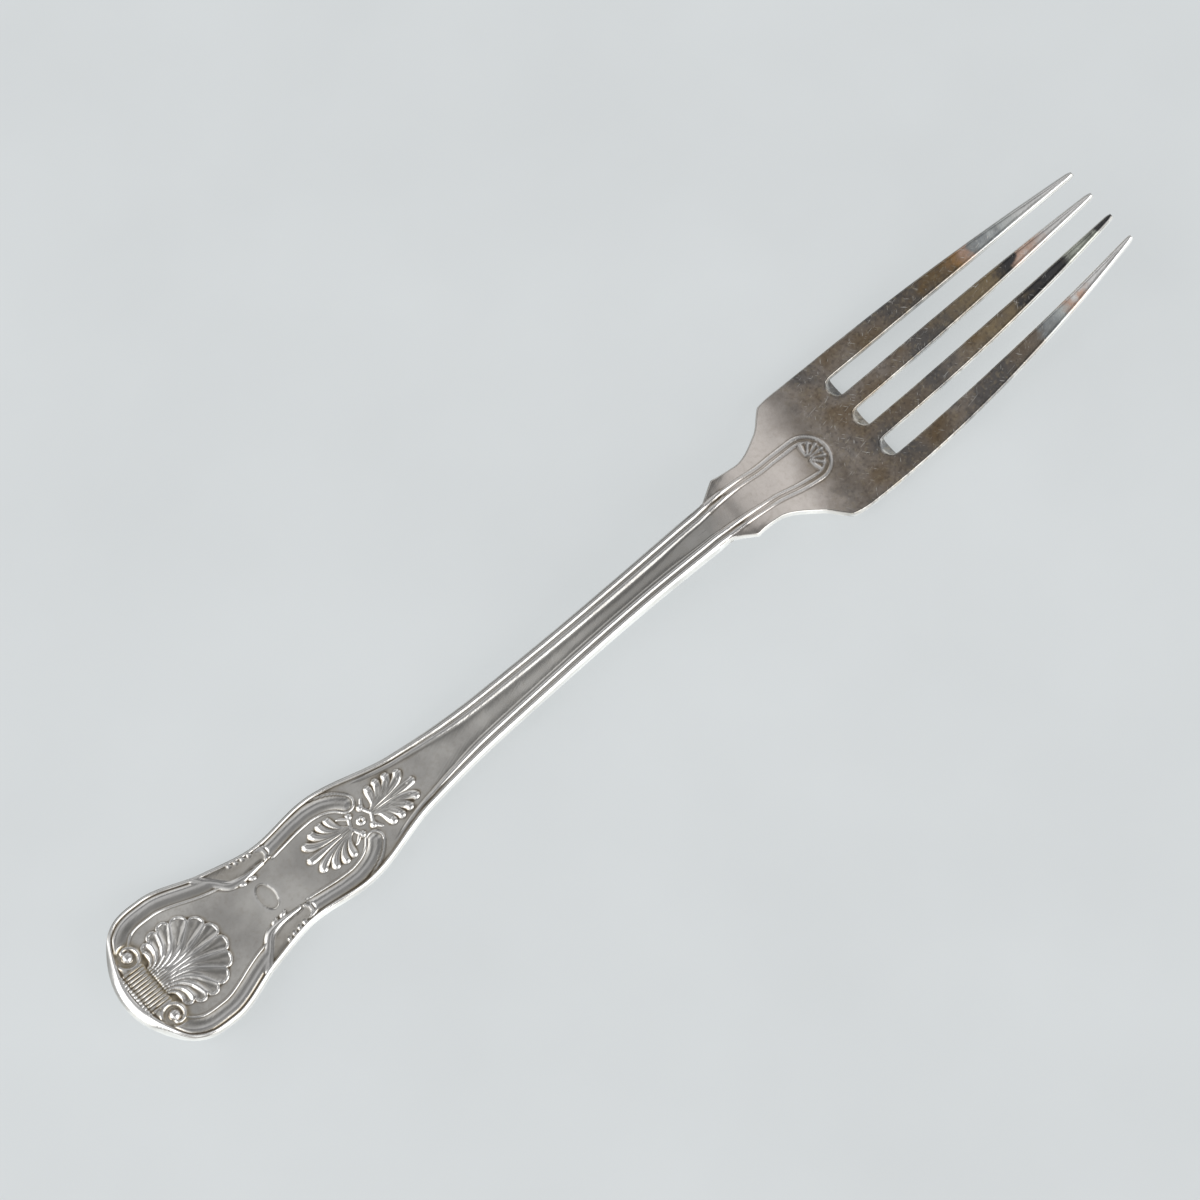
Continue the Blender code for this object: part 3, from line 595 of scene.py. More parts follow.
# The oval: a small plain hollow with a soft edge, sunk into the field between the cuffs by a punch
# of its own.
OVAL_AT = 28.6
OVAL_LONG = 1.48
OVAL_WIDE = 2.45
OVAL_DEPTH = 0.13
OVAL_EDGE = (0.88, 1.04)
from_oval = np.hypot((place - OVAL_AT) / OVAL_LONG, across / OVAL_WIDE)
relief -= OVAL_DEPTH * (1 - step_up(from_oval, *OVAL_EDGE))

# The scrolls: from the cuffs a second band follows the bulge on either side and hooks inwards
# above the stem, with its thread running all round the hook.
SCROLL_AREA = (32.6, 51.0)
SCROLL_PATH = (
    (33.0, 5.85), (36.0, 6.25), (39.0, 6.6), (41.5, 6.7), (43.6, 6.4), (45.4, 5.75), (46.8, 4.8),
    (47.6, 3.9))
SCROLL_REACH = 1.3
SCROLL_START = (32.9, 33.6)
SCROLL_THREAD_AT = 1.45
SCROLL_HOOK = (0.6, 0.75)
part = near(*SCROLL_AREA)
scroll_gap, side, done = from_path(smooth_path(SCROLL_PATH), place[part], across[part])
scroll_thread = THREAD_RISE * bump((scroll_gap - SCROLL_THREAD_AT) / THREAD_REACH)
scroll_thread *= np.maximum(side < 0, step_up(done, *SCROLL_HOOK))
scroll = np.maximum(BAND_RISE * mound(scroll_gap / SCROLL_REACH), scroll_thread)
scroll *= step_up(place[part], *SCROLL_START)
relief[part] = np.maximum(relief[part], ground[part] + scroll)

# The honeysuckle: two palmettes spring from a ring between the hooks, one of solid drops towards
# the waist and one of grooved petals towards the stem. Brackets with round ears and small curls
# stand beside the ring. Heights of these forms are shares of the flower's rise.
FLOWER_AREA = (36.0, 60.0, 5.0)
FLOWER_RISE = 0.33
RING_AT = 47.85
RING_RADIUS = 0.48
RING_REACH = 0.2
RING_RISE = 0.8
BRACKETS = ((45.75, 46.7, 1.85), (50.0, 49.05, 1.75))
BRACKET_WIDTH = 0.3
BRACKET_RISE = 0.55
EAR_RADIUS = 0.62
CURLS = (
    ((46.5, 1.6), (45.9, 1.9), (45.6, 2.3), (44.9, 2.6)),
    ((49.2, 1.6), (49.5, 2.0), (49.6, 2.4), (50.1, 2.9)))
CURL_WIDTH = 0.4
CURL_TAPER = 0.25
CURL_RISE = 0.6
LEAF_FOOT_WIDTH = 0.26
LEAF_START = np.array((0.0, 0.15))
LEAF_LEAVE = np.array((0.45, 0.22))
LEAF_ARRIVE = np.array((0.9, 0.55))
DROP_BASE = 45.7
DROP_TIPS = ((37.7, 0.0), (38.4, 2.25), (40.3, 3.1), (42.05, 3.4), (43.6, 3.35))
DROP_SWELL = 0.5
DROP_SWELLS = (0.2, 0.95)
DROP_FOOT_RISE = 0.4
DROP_TIP_RISE = 1.1
PETAL_BASE = 50.2
PETAL_TIPS = ((58.1, 0.0), (57.2, 2.3), (55.35, 3.1), (53.55, 3.3), (51.9, 3.2))
PETAL_SWELL = 0.52
PETAL_SWELLS = (0.15, 0.85)
PETAL_FOOT_RISE = 0.45
PETAL_TIP_RISE = 1.1
PETAL_GROOVE = 0.4
PETAL_GROOVE_WIDTH = 0.3
PETAL_GROOVE_START = (0.35, 0.6)
PETAL_GROOVE_END = (0.84, 0.95)


def leaf_path(base, tip):
    """A stem that leaves the base along the fork and turns outwards to its tip."""
    foot = np.array((base, 0.0))
    reach = np.array(tip) - foot
    return bezier(foot + LEAF_START * reach, foot + LEAF_LEAVE * reach, foot + LEAF_ARRIVE * reach, tip)


part = near(*FLOWER_AREA)
flower_place, flower_across = place[part], across[part]
from_ring = np.hypot(flower_place - RING_AT, flower_across)
forms = [RING_RISE * bump((from_ring - RING_RADIUS) / RING_REACH)]
for tip in DROP_TIPS:
    gap, side, done = from_path(leaf_path(DROP_BASE, tip), flower_place, flower_across)
    width = LEAF_FOOT_WIDTH + DROP_SWELL * step_up(done, *DROP_SWELLS)
    rise = DROP_FOOT_RISE + (DROP_TIP_RISE - DROP_FOOT_RISE) * done
    forms.append(rise * mound(gap / width))
for tip in PETAL_TIPS:
    gap, side, done = from_path(leaf_path(PETAL_BASE, tip), flower_place, flower_across)
    width = LEAF_FOOT_WIDTH + PETAL_SWELL * step_up(done, *PETAL_SWELLS)
    rise = PETAL_FOOT_RISE + (PETAL_TIP_RISE - PETAL_FOOT_RISE) * done
    petal_groove = PETAL_GROOVE * bump(gap / (PETAL_GROOVE_WIDTH * width))
    petal_groove *= between(done, PETAL_GROOVE_START, PETAL_GROOVE_END)
    forms.append(rise * mound(gap / width) - petal_groove)
for corner, ear, reach in BRACKETS:
    gap, side, done = from_path(np.array(((corner, 0.0), (ear, reach))), flower_place, flower_across)
    forms.append(BRACKET_RISE * mound(gap / BRACKET_WIDTH))
    forms.append(mound(np.hypot(flower_place - ear, flower_across - reach) / EAR_RADIUS))
for curl in CURLS:
    gap, side, done = from_path(bezier(*curl), flower_place, flower_across)
    forms.append(CURL_RISE * mound(gap / (CURL_WIDTH - CURL_TAPER * done)))
flower = FLOWER_RISE * np.clip(np.max(forms, axis=0), 0, None)
relief[part] = np.maximum(relief[part], ground[part] + flower)

# The root: the stem's threads run on over the root of the tines as the outline of a tongue, with
# a small palmette in its round end. Beside it the root is plain. The rim falls away to the edge
# along all of the handle before the tongue is set over the relief.
ROOT_START = 120.0
EDGE_FALL = 0.8
TONGUE_RELIEF = 0.2
TONGUE_TIP = 146.6
TONGUE_STATIONS = ((120.0, 3.66), (123.0, 3.78), (128.0, 3.85), (133.0, 3.85), (138.0, 4.3), (142.1, 4.5))
TONGUE_NARROWS = (118.0, 130.0)
TONGUE_FLATTENS = (118.0, 134.0)
TONGUE_RIM_AT = 0.42
TONGUE_RIM_REACH = 0.25
TONGUE_THREAD_AT = 1.5
TONGUE_THREAD_REACH = 0.22
TONGUE_THREAD_SHARE = 0.9
PLAIN_START = STEM_TOP[0] - 0.4
PALMETTE_AT = 142.2
PALMETTE_TURNS = (0.0, 26.0, 52.0, 78.0)
PALMETTE_TIPS = np.array((3.1, 2.7))
PALMETTE_FEET = np.array((0.7, 0.6))
PALMETTE_RISE = 0.2
PALMETTE_FOOT_WIDTH = 0.22
PALMETTE_SWELL = 0.3
round_from, round_half = TONGUE_STATIONS[-1]
round_length = TONGUE_TIP - round_from
from_round = np.hypot(place - round_from, across * round_length / round_half)
tongue_side = smooth_through(TONGUE_STATIONS)(place) - across
tongue_gap = np.where(place > round_from, round_length - from_round, tongue_side)
outer_line = np.interp(place, TONGUE_NARROWS, (STEM_RIM_AT, TONGUE_RIM_AT))
outer_reach = np.interp(place, TONGUE_NARROWS, (STEM_RIM_REACH, TONGUE_RIM_REACH))
inner_line = np.interp(place, TONGUE_NARROWS, (INNER_THREAD_AT, TONGUE_THREAD_AT))
inner_reach = np.interp(place, TONGUE_NARROWS, (INNER_THREAD_REACH, TONGUE_THREAD_REACH))
tongue_field = np.interp(place, TONGUE_FLATTENS, (FIELD, -TONGUE_RELIEF))
tongue = tongue_field - tongue_field * bump((tongue_gap - outer_line) / outer_reach)
tongue_thread = TONGUE_THREAD_SHARE * bump((tongue_gap - inner_line) / inner_reach)
tongue = np.maximum(tongue, tongue_field - tongue_field * tongue_thread)
groove = GROOVE_DEPTH * (1 - step_up(place, *TONGUE_FLATTENS))
tongue -= groove * bump((tongue_gap - (outer_line + inner_line) / 2) / GROOVE_REACH)
for angle in np.radians(PALMETTE_TURNS):
    tip = (PALMETTE_AT, 0.0) + PALMETTE_TIPS * spoke(angle)
    foot = (PALMETTE_AT, 0.0) + PALMETTE_FEET * spoke(angle)
    gap, side, done = from_path(bezier(foot, foot, tip, tip), place, across)
    leaf = PALMETTE_RISE * mound(gap / (PALMETTE_FOOT_WIDTH + PALMETTE_SWELL * done))
    tongue = np.maximum(tongue, tongue_field + leaf)
on_root = place > ROOT_START
past_tongue = tongue_gap < 0
beside = (tongue_gap < outer_line) & (place > PLAIN_START)
tongue = np.where(beside, np.maximum(tongue, -TONGUE_RELIEF), tongue)
tongue = np.where(past_tongue, -TONGUE_RELIEF, tongue)
rim_width = rim_at / RIM_AT * wide
fall = EDGE_FALL * rim_width * np.clip(1 - edge_gap / rim_width, 0, 1) ** 2
relief = np.where(edge_gap < rim_width, np.minimum(relief, -fall), relief)
relief = np.where(on_root, tongue, relief)

# Rolling and bending: the sheet gets its thickness, rounded edges and slender tines, and is bent
# so that it rests under the waist and the root and its tips and handle end rise.
HANDLE_THICKNESS = 2.9
STEM_THICKNESS = 4.2
ROOT_THICKNESS = 2.6
TIP_THICKNESS = 1.2
TIP_TAPER = -0.035
LEAST_THICKNESS = 0.2
BACK_ROUNDING = 0.65
BACK_ROUNDING_LIMIT = 0.45
STEM_BACK_ROUNDING = 1.7
STEM_BACK_PLACES = (48.0, 70.0, 118.0, 126.0)
WING_THICKNESS = 2.2
WING_REACH = 3.5
WING_THINS = (119.0, 125.0)
WING_THINNING = 1.5
WING_FALL = 0.2
WING_FALL_REACH = 1.8
WING_FALL_START = (122.8, 124.0)
WING_FALL_END = (127.0, 130.0)
FACE_ROUNDING = 0.3
TIP_ROUNDING = 0.62
TINE_CROWN = 0.2
TINE_CROWN_REACH = 1.0
TINE_CROWN_START = (0.3, 0.9)
END_RISE = 3.1
END_CURL_LENGTH = 33.0
ARCH_START = 44.0
ARCH_TOP = 124.0
ARCH_END = 148.0
ARCH_RISE = 5.2
ARCH_LAG = 1.25
BELLY_END = 152.0
TIP_RISE = 11.6
TIP_SWEEP = 1.55
THICKNESS_STATIONS = (
    (0.0, HANDLE_THICKNESS), (58.0, HANDLE_THICKNESS), (ARCH_TOP, STEM_THICKNESS),
    (140.0, ROOT_THICKNESS + TONGUE_RELIEF), (BELLY_END, ROOT_THICKNESS + TONGUE_RELIEF),
    (FORK_LENGTH, TIP_THICKNESS + TONGUE_RELIEF))


def underside(place):
    """Height of the bent fork's underside above the table."""
    curl = END_RISE * np.clip(1 - place / END_CURL_LENGTH, 0, None) ** 2
    climb = np.clip((place - ARCH_START) / (ARCH_TOP - ARCH_START), 0, 1)
    drop = np.clip((place - ARCH_TOP) / (ARCH_END - ARCH_TOP), 0, 1)
    arch = ARCH_RISE * np.sin(math.pi / 2 * climb ** ARCH_LAG) ** 2 * np.cos(math.pi / 2 * drop) ** 2
    sweep = np.clip((place - BELLY_END) / (FORK_LENGTH - BELLY_END), 0, None)
    return curl + arch + TIP_RISE * sweep ** TIP_SWEEP


def rounding(gap, radius):
    """How far a rounded edge falls below the face at a gap from the edge."""
    return radius * (1 - dome(np.clip(1 - gap / radius, 0, 1)))


def rise_to_edge(reach, power=2):
    """Rise from 0, at a reach from the edge, to 1 at the edge."""
    return np.clip(1 - edge_gap / reach, 0, 1) ** power


thickness = smooth_through(THICKNESS_STATIONS, end_slope=TIP_TAPER)(place)
tine_share = np.clip((place - ROOT_AT) / (FORK_LENGTH - ROOT_AT), 0, 1)
face_rounding = FACE_ROUNDING + (TIP_ROUNDING - FACE_ROUNDING) * tine_share
crown = TINE_CROWN * step_up(tine_share, *TINE_CROWN_START) * rise_to_edge(TINE_CROWN_REACH)
wing_fall = WING_FALL * between(place, WING_FALL_START, WING_FALL_END) * rise_to_edge(WING_FALL_REACH)
face = thickness + relief - crown - wing_fall
face = np.where(on_root & past_tongue, face - rounding(edge_gap, face_rounding), face)
back_radii = (BACK_ROUNDING, STEM_BACK_ROUNDING, STEM_BACK_ROUNDING, BACK_ROUNDING)
back_rounding = np.minimum(np.interp(place, STEM_BACK_PLACES, back_radii), BACK_ROUNDING_LIMIT * thickness)
thinned = np.clip(thickness - WING_THICKNESS, 0, None)
thinned *= step_up(place, *WING_THINS) * rise_to_edge(WING_REACH, WING_THINNING)
back = rounding(edge_gap, back_rounding) + thinned
lift = underside(place)
face_height = face + lift
back_height = np.minimum(back, face - LEAST_THICKNESS) + lift

# The mesh: one closed skin of the whole fork, from a flat grid that is pierced between the tines,
# given a back, thinned where the back is plain, and then laid on the heights worked out above.
BACK_ROW_STEP = 4
BACK_COLUMN_STEP = 4
KEPT_END_ROWS = 8
KEPT_SLOT_ROWS = 3
KEPT_SIDE_COLUMNS = 6
GRID = 2 * COLUMNS
mirrored_columns = np.abs(np.arange(GRID + 1) - COLUMNS)
slot_cell = np.zeros(COLUMNS, bool)
slot_cell[slot_edges[0]:slot_edges[1]] = True
slot_cell[slot_edges[2]:slot_edges[3]] = True
edge_columns = set()
for slot_edge in slot_edges[1:4]:
    edge_columns |= {COLUMNS - slot_edge, COLUMNS + slot_edge}

work = bmesh.new()
bmesh.ops.create_grid(work, x_segments=rows, y_segments=GRID, size=1.0)
for vertex in work.verts:
    vertex.co = (round((vertex.co.x + 1) / 2 * rows), round((vertex.co.y + 1) / 2 * GRID), 0)
pierced = []
for cell in work.faces:
    middle = cell.calc_center_median()
    if middle.x > slot_row and slot_cell[int(abs(middle.y - COLUMNS))]:
        pierced.append(cell)
bmesh.ops.delete(work, geom=pierced, context="FACES")
raised = bmesh.ops.extrude_face_region(work, geom=work.faces[:], use_keep_orig=True)
for item in raised["geom"]:
    if isinstance(item, bmesh.types.BMVert):
        item.co.z = 1
plain = []
for edge in work.edges:
    start, end = (vertex.co for vertex in edge.verts)
    on_side = any(cell.normal.z == 0 for cell in edge.link_faces)
    if start.z + end.z > 0 or on_side or len(edge.link_faces) < 2:
        continue
    edge_row, edge_column = int(start.x), int(start.y)
    if start.y == end.y:
        inner = KEPT_SIDE_COLUMNS < edge_column < GRID - KEPT_SIDE_COLUMNS
        if inner and edge_column not in edge_columns and edge_column % BACK_COLUMN_STEP:
            plain.append(edge)
    else:
        inner = edge_row > KEPT_END_ROWS and abs(edge_row - slot_row) > KEPT_SLOT_ROWS
        if inner and edge_row % BACK_ROW_STEP:
            plain.append(edge)
bmesh.ops.dissolve_edges(work, edges=plain, use_verts=True)
bmesh.ops.recalc_face_normals(work, faces=work.faces[:])
for cell in work.faces:
    cell.smooth = True
skin = bpy.data.meshes.new("table_fork_skin")
work.to_mesh(skin)
work.free()

flat = np.empty(len(skin.vertices) * 3)
skin.vertices.foreach_get("co", flat)
row, grid_column, upper = flat.reshape(-1, 3).round().astype(int).T
spot = (row, mirrored_columns[grid_column])
hand = np.sign(grid_column - COLUMNS)
laid = np.empty((len(row), 3))
laid[:, 0] = cad_low.x + (place[spot] + (1 - upper) * draft[spot]) * MM
laid[:, 1] = hand * across[spot] * MM
laid[:, 2] = np.where(upper == 1, face_height[spot], back_height[spot]) * MM
skin.vertices.foreach_set("co", laid.ravel())
skin.update()

fork = bpy.data.objects.new("struck_fork", skin)
bpy.context.scene.collection.objects.link(fork)
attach(fork, "root")
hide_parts("table_fork")

# Wear, dirt and painted light: handling keeps the raised forms bright, while polish and grime stay in the
# hollows, most of all round the reeds and volutes. The hollows and the grooves between the reeds also get
# painted shade, and the shell's middle and the cuffs' ribbons a painted highlight. Each is stored as a
# number on the mesh for the silver.
HOLLOW_NEIGHBOURS = 4
HOLLOW_GAIN = 8
# Patina and painted shade in the grooves between the reeds, less towards the shell.
REED_PATINA_AND_SHADE = 1.1
REED_PATINA_AND_SHADE_LOSS = 0.75
REED_PATINA_AND_SHADE_SPREAD = 0.8
REED_GRIME = 0.9
REED_FOOT_REACH = 1.7
REED_FOOT_END = (3.5, VOLUTE[1])
# The volutes, shell, edges and stem are spared part of the hollows' patina and painted shade.
VOLUTE_SPARED_SPAN = (2.0, 2.6)
VOLUTE_SPARED = 0.8
VOLUTE_FOOT_AT = 1.9
VOLUTE_FOOT_REACH = 0.6
FORMS_SPARED = 0.6
EDGE_SPARED_SPAN = (0.3, 0.7)
STEM_SPARED = 0.75
STEM_SPARED_START = (58.0, 68.0)
STEM_SPARED_END = (120.0, 126.0)
CUFF_DIRT = 0.4
CUFF_DIRT_START = (0.05, 0.15)
# Painted highlights on the cuffs' ribbons and on the shell's middle.
RIBBON_HIGHLIGHT = 0.5
RIBBON_HIGHLIGHT_START = (0.08, 0.2)
SHELL_HIGHLIGHT = 0.45
SHELL_HIGHLIGHT_AT = 11.0
SHELL_HIGHLIGHT_REACH = 5.0
WORN_EDGE = (0.05, 0.45)


def blurred(values, reach):
    """The mean of each point's neighbours on the sheet, which is mirrored at the axis."""
    height, width = values.shape
    along_total = np.zeros_like(values)
    for shift in range(-reach, reach + 1):
        along_total += values[np.clip(np.arange(height) + shift, 0, height - 1)]
    total = np.zeros_like(values)
    for shift in range(-reach, reach + 1):
        total += along_total[:, np.clip(np.abs(np.arange(width) + shift), 0, width - 1)]
    return total / (2 * reach + 1) ** 2


def store(name, values):
    """Store a number for every vertex of the fork."""
    skin.attributes.new(name, "FLOAT", "POINT").data.foreach_set("value", values)


# The recess number: patina in the hollows and, where it runs high, painted shade.
hollowness = blurred(relief, HOLLOW_NEIGHBOURS) - relief
# The reed grooves get painted shade as well as patina.
reed_patina_and_shade = np.abs(2 * off_crest) ** REED_PATINA_AND_SHADE_SPREAD * in_reeds * lengthwise
reed_patina_and_shade *= REED_PATINA_AND_SHADE - REED_PATINA_AND_SHADE_LOSS * step_up(place, *REED_DEPTH_SPAN)
on_volute = VOLUTE_SPARED * (1 - step_up(from_volute, *VOLUTE_SPARED_SPAN))
spared = FORMS_SPARED * np.maximum(on_shell, on_volute)
recess = np.clip(np.maximum(HOLLOW_GAIN * hollowness * (1 - spared), reed_patina_and_shade), 0, 1)
recess *= step_up(edge_gap, *EDGE_SPARED_SPAN)
recess *= 1 - STEM_SPARED * between(place, STEM_SPARED_START, STEM_SPARED_END)
recess[cuff_part] = np.maximum(recess[cuff_part], CUFF_DIRT * step_up(cuff, *CUFF_DIRT_START))
volute_foot = bump((from_volute - VOLUTE_FOOT_AT) / VOLUTE_FOOT_REACH)
reed_foot = bump((place - SHELL_BASE) / REED_FOOT_REACH) * (1 - step_up(across, *REED_FOOT_END))
grime = np.maximum(np.maximum(volute_foot, reed_foot), REED_GRIME * in_reeds * lengthwise)
# The bright number: polish on the raised forms, and a painted highlight on the shell's middle and the
# ribbons.
from_shell_highlight = np.hypot(place - SHELL_HIGHLIGHT_AT, across)
polish_and_highlight = np.clip(-HOLLOW_GAIN * hollowness, 0, 1)
polish_and_highlight = np.maximum(polish_and_highlight, SHELL_HIGHLIGHT * on_shell * mound(from_shell_highlight / SHELL_HIGHLIGHT_REACH))
polish_and_highlight[cuff_part] = np.maximum(polish_and_highlight[cuff_part], RIBBON_HIGHLIGHT * step_up(ribbon, *RIBBON_HIGHLIGHT_START))
worn = 1 - step_up(edge_gap, *WORN_EDGE)
for name, values in (("recess", recess), ("grime", grime), ("polish_and_highlight", polish_and_highlight)):
    store(name, np.where(upper == 1, values[spot], 0.0))
store("worn", np.where(upper == 1, worn[spot], draft[spot] == 0))

# The silver: polished once, now dulled by handling, with brown patina and grime in the recesses and painted
# shade, near black, in the deepest of them and between the reeds. The raised forms are polished bright,
# with a painted highlight on the shell's middle and the cuffs' ribbons. Along the stem and tines it is
# tarnished, and towards the tips brown turns to orange, blue black and pale.
# A stain is a colour and where it stands along the fork, listed for the handle and then tine by tine.
SILVER = (0.91, 0.89, 0.85)
DULL = (0.555, 0.54, 0.515)
PATINA = (0.42, 0.335, 0.215)
# A near black, painted as shade in the deepest hollows and the reed grooves.
RECESS_SHADE = (0.15, 0.12, 0.085)
GRIME = (0.52, 0.42, 0.25)
ROSE = (0.78, 0.72, 0.675)
BROWN = (0.40, 0.345, 0.30)
SEPIA = (0.26, 0.21, 0.165)
UMBER = (0.24, 0.15, 0.055)
OCHRE = (0.35, 0.265, 0.15)
RUST = (0.56, 0.31, 0.13)
COPPER = (0.80, 0.54, 0.42)
INK = (0.05, 0.05, 0.055)
SLATE = (0.36, 0.39, 0.41)
STEEL = (0.17, 0.17, 0.175)
MOSS = (0.50, 0.53, 0.46)
STRAW = (0.46, 0.39, 0.28)
PALE = (0.76, 0.80, 0.79)
BRIGHT = (0.96, 0.95, 0.94)
STAIN_START = 60.0
STAIN_SLANT = 0.4
STAIN_STRAIGHTENS = (140.0, 152.0)
HANDLE_STAINS = (
    (60, SILVER), (82, SILVER), (98, DULL), (121, DULL), (127, ROSE), (138, ROSE), (148, BROWN))
LEFT_OUTER_STAINS = (
    (158, BROWN), (168, SEPIA), (173, UMBER), (180, UMBER), (183, RUST), (186.5, COPPER), (188, SLATE),
    (191, PALE), (200, BRIGHT))
LEFT_INNER_STAINS = (
    (160, BROWN), (170, SEPIA), (177, OCHRE), (187, OCHRE), (189, INK), (191, INK), (192.5, COPPER),
    (196, BRIGHT))
RIGHT_INNER_STAINS = (
    (156, SEPIA), (164, SEPIA), (170, BROWN), (180, OCHRE), (184.5, OCHRE), (187, INK), (195, INK),
    (197, MOSS), (201, MOSS), (203.5, INK))
RIGHT_OUTER_STAINS = (
    (154, SEPIA), (162, SEPIA), (168, BROWN), (174, SEPIA), (183, SEPIA), (185.5, SLATE), (190, PALE),
    (193, COPPER), (195, BRIGHT))
TINE_STAINS = (LEFT_OUTER_STAINS, LEFT_INNER_STAINS, RIGHT_INNER_STAINS, RIGHT_OUTER_STAINS)
SCRATCH_DEPTH = 0.0001
SCRATCH_STRENGTH = 0.10
CROSS_SCRATCHES = 0.6
DENT_DEPTH = 0.0004
DENT_STRENGTH = 0.7
NICK_SHARE = 0.7
# Kinds of nick: how their noise is stretched and turned, and where it begins to show.
NICKS = (
    ((4.5, 0.5, 1.0), 0.7, (0.68, 0.73)),
    ((5.0, 0.6, 1.0), -0.6, (0.69, 0.74)),
    ((0.4, 6.0, 1.0), 0.2, (0.69, 0.74)))
MOTTLE_SHARE = 0.5


def stain_share(at):
    """A place along the fork as a share of the stained length."""
    return (at - STAIN_START) / (FORK_LENGTH - STAIN_START)


slant = STAIN_SLANT * across * (1 - step_up(place, *STAIN_STRAIGHTENS))
store("along", stain_share(place[spot] - hand * slant[spot]))
on_outer = spot[1] >= slot_edges[3]
tine_number = np.where(hand > 0, np.where(on_outer, 0, 1), np.where(on_outer, 3, 2))
store("tine", tine_number.astype(float))

silver = bpy.data.materials.new("aged_silver")
silver.use_nodes = True
nodes, links = silver.node_tree.nodes, silver.node_tree.links
shader = nodes["Principled BSDF"]
shader.inputs["Metallic"].default_value = 1


def put(kind, **settings):
    """Add a node to the material at hand and set its properties and inputs."""
    node = nodes.new(kind)
    for name, value in settings.items():
        if hasattr(node, name):
            setattr(node, name, value)
        else:
            node.inputs[name.replace("_", " ")].default_value = value
    return node


def feed(slot, value):
    """Give an input its value, from a socket or as a constant."""
    if isinstance(value, bpy.types.NodeSocket):
        links.new(value, slot)
    else:
        slot.default_value = value


def stored(name):
    """A number that is stored on the mesh."""
    return put("ShaderNodeAttribute", attribute_name=name).outputs["Fac"]


where = put("ShaderNodeTexCoord").outputs["Object"]


def noise(scale, detail, stretch=(1.0, 1.0, 1.0), turn=0.0):
    """A noise over the fork, with its scale in features per millimetre."""
    spread = put("ShaderNodeMapping", vector_type="TEXTURE")
    spread.inputs["Scale"].default_value = [MM / value for value in stretch]
    spread.inputs["Rotation"].default_value = (0, 0, turn)
    texture = put("ShaderNodeTexNoise", Scale=scale, Detail=detail)
    links.new(where, spread.inputs["Vector"])
    links.new(spread.outputs["Vector"], texture.inputs["Vector"])
    return texture.outputs["Fac"]


def ramp(value, low, high, start=0.0, end=1.0):
    """Turn the part of a value between low and high into start to end."""
    node = put("ShaderNodeMapRange", From_Min=low, From_Max=high, To_Min=start, To_Max=end)
    links.new(value, node.inputs["Value"])
    return node.outputs["Result"]


def combine(operation, *values):
    """Work out a sum, a product or the like of sockets and constants."""
    node = put("ShaderNodeMath", operation=operation)
    for slot, value in zip(node.inputs, values):
        feed(slot, value)
    return node.outputs["Value"]


def times(first, *others):
    """Multiply values."""
    for other in others:
        first = combine("MULTIPLY", first, other)
    return first


def plus(first, *others):
    """Add values."""
    for other in others:
        first = combine("ADD", first, other)
    return first


def blend(share, under, over):
    """Mix two colours, each a socket or a constant."""
    node = put("ShaderNodeMix", data_type="RGBA")
    for name, value in (("Factor", share), ("A", under), ("B", over)):
        feed(next(slot for slot in node.inputs if slot.name == name and slot.enabled), value)
    return next(slot for slot in node.outputs if slot.enabled)


def coat(under, colour, *shares):
    """Lay a colour over what is there, by the product of some shares."""
    return blend(times(*shares), under, (*colour, 1))


def graded(value, stops):
    """A colour that runs with a value through stops, each a position and a colour."""
    node = put("ShaderNodeValToRGB")
    links.new(value, node.inputs["Fac"])
    elements = node.color_ramp.elements
    for order, (position, colour) in enumerate(stops):
        element = elements[order] if order < 2 else elements.new(1.0)
        element.position = position
        element.color = (*colour, 1)
    return node.outputs["Color"]


along = stored("along")
recessed = stored("recess")
tine = stored("tine")
clouds = noise(scale=0.11, detail=5.0)
specks = noise(scale=1.3, detail=6.0)
pits = noise(scale=1.6, detail=8.0)
smudges = noise(scale=0.13, detail=4.0)
flecks = noise(scale=1.4, detail=5.0)
scratches = noise(scale=1.0, detail=3.0, stretch=(0.06, 3.0, 1.0), turn=0.35)
cross_scratches = noise(scale=1.0, detail=3.0, stretch=(3.2, 0.12, 1.0), turn=-0.5)
tarnished = ramp(along, 0.05, 0.3)
on_tines = ramp(along, 0.55, 0.62)
before_tips = times(on_tines, ramp(along, 0.80, 0.86, 1.0, 0.0))
mottle = times(ramp(noise(scale=0.8, detail=7.0), 0.35, 0.65), ramp(along, 0.84, 0.88, 1.0, 0.0))
broad_drift = ramp(noise(scale=0.22, detail=2.0), 0.3, 0.7, -0.016, 0.016)
fine_drift = ramp(noise(scale=1.1, detail=4.0), 0.3, 0.7, -0.005, 0.005)
drifting = plus(along, broad_drift, fine_drift)
nicks = plus(*[ramp(noise(1.0, 2.0, stretch, turn), *span) for stretch, turn, span in NICKS])

base = coat((*SILVER, 1), DULL, ramp(clouds, 0.36, 0.64, 0.0, 0.8))
stain = base
for number, tine_stains in enumerate(TINE_STAINS):
    stops = [(stain_share(at), colour) for at, colour in HANDLE_STAINS + tine_stains]
    stain = blend(combine("COMPARE", tine, number, 0.5), stain, graded(drifting, stops))
base = blend(times(tarnished, ramp(stored("worn"), 0.0, 1.0, 0.95, 0.1)), base, stain)
base = coat(base, SEPIA, on_tines, mottle, MOTTLE_SHARE)
base = coat(base, STEEL, before_tips, ramp(smudges, 0.48, 0.6, 0.0, 0.75))
base = coat(base, UMBER, before_tips, ramp(smudges, 0.34, 0.46, 0.5, 0.0))
base = coat(base, INK, before_tips, ramp(pits, 0.5, 0.68, 0.0, 0.35))
base = coat(base, PATINA, ramp(specks, 0.5, 0.8, 0.0, 0.16))
base = coat(base, PATINA, ramp(recessed, 0.1, 0.9), ramp(clouds, 0.3, 0.6, 0.35, 0.8))
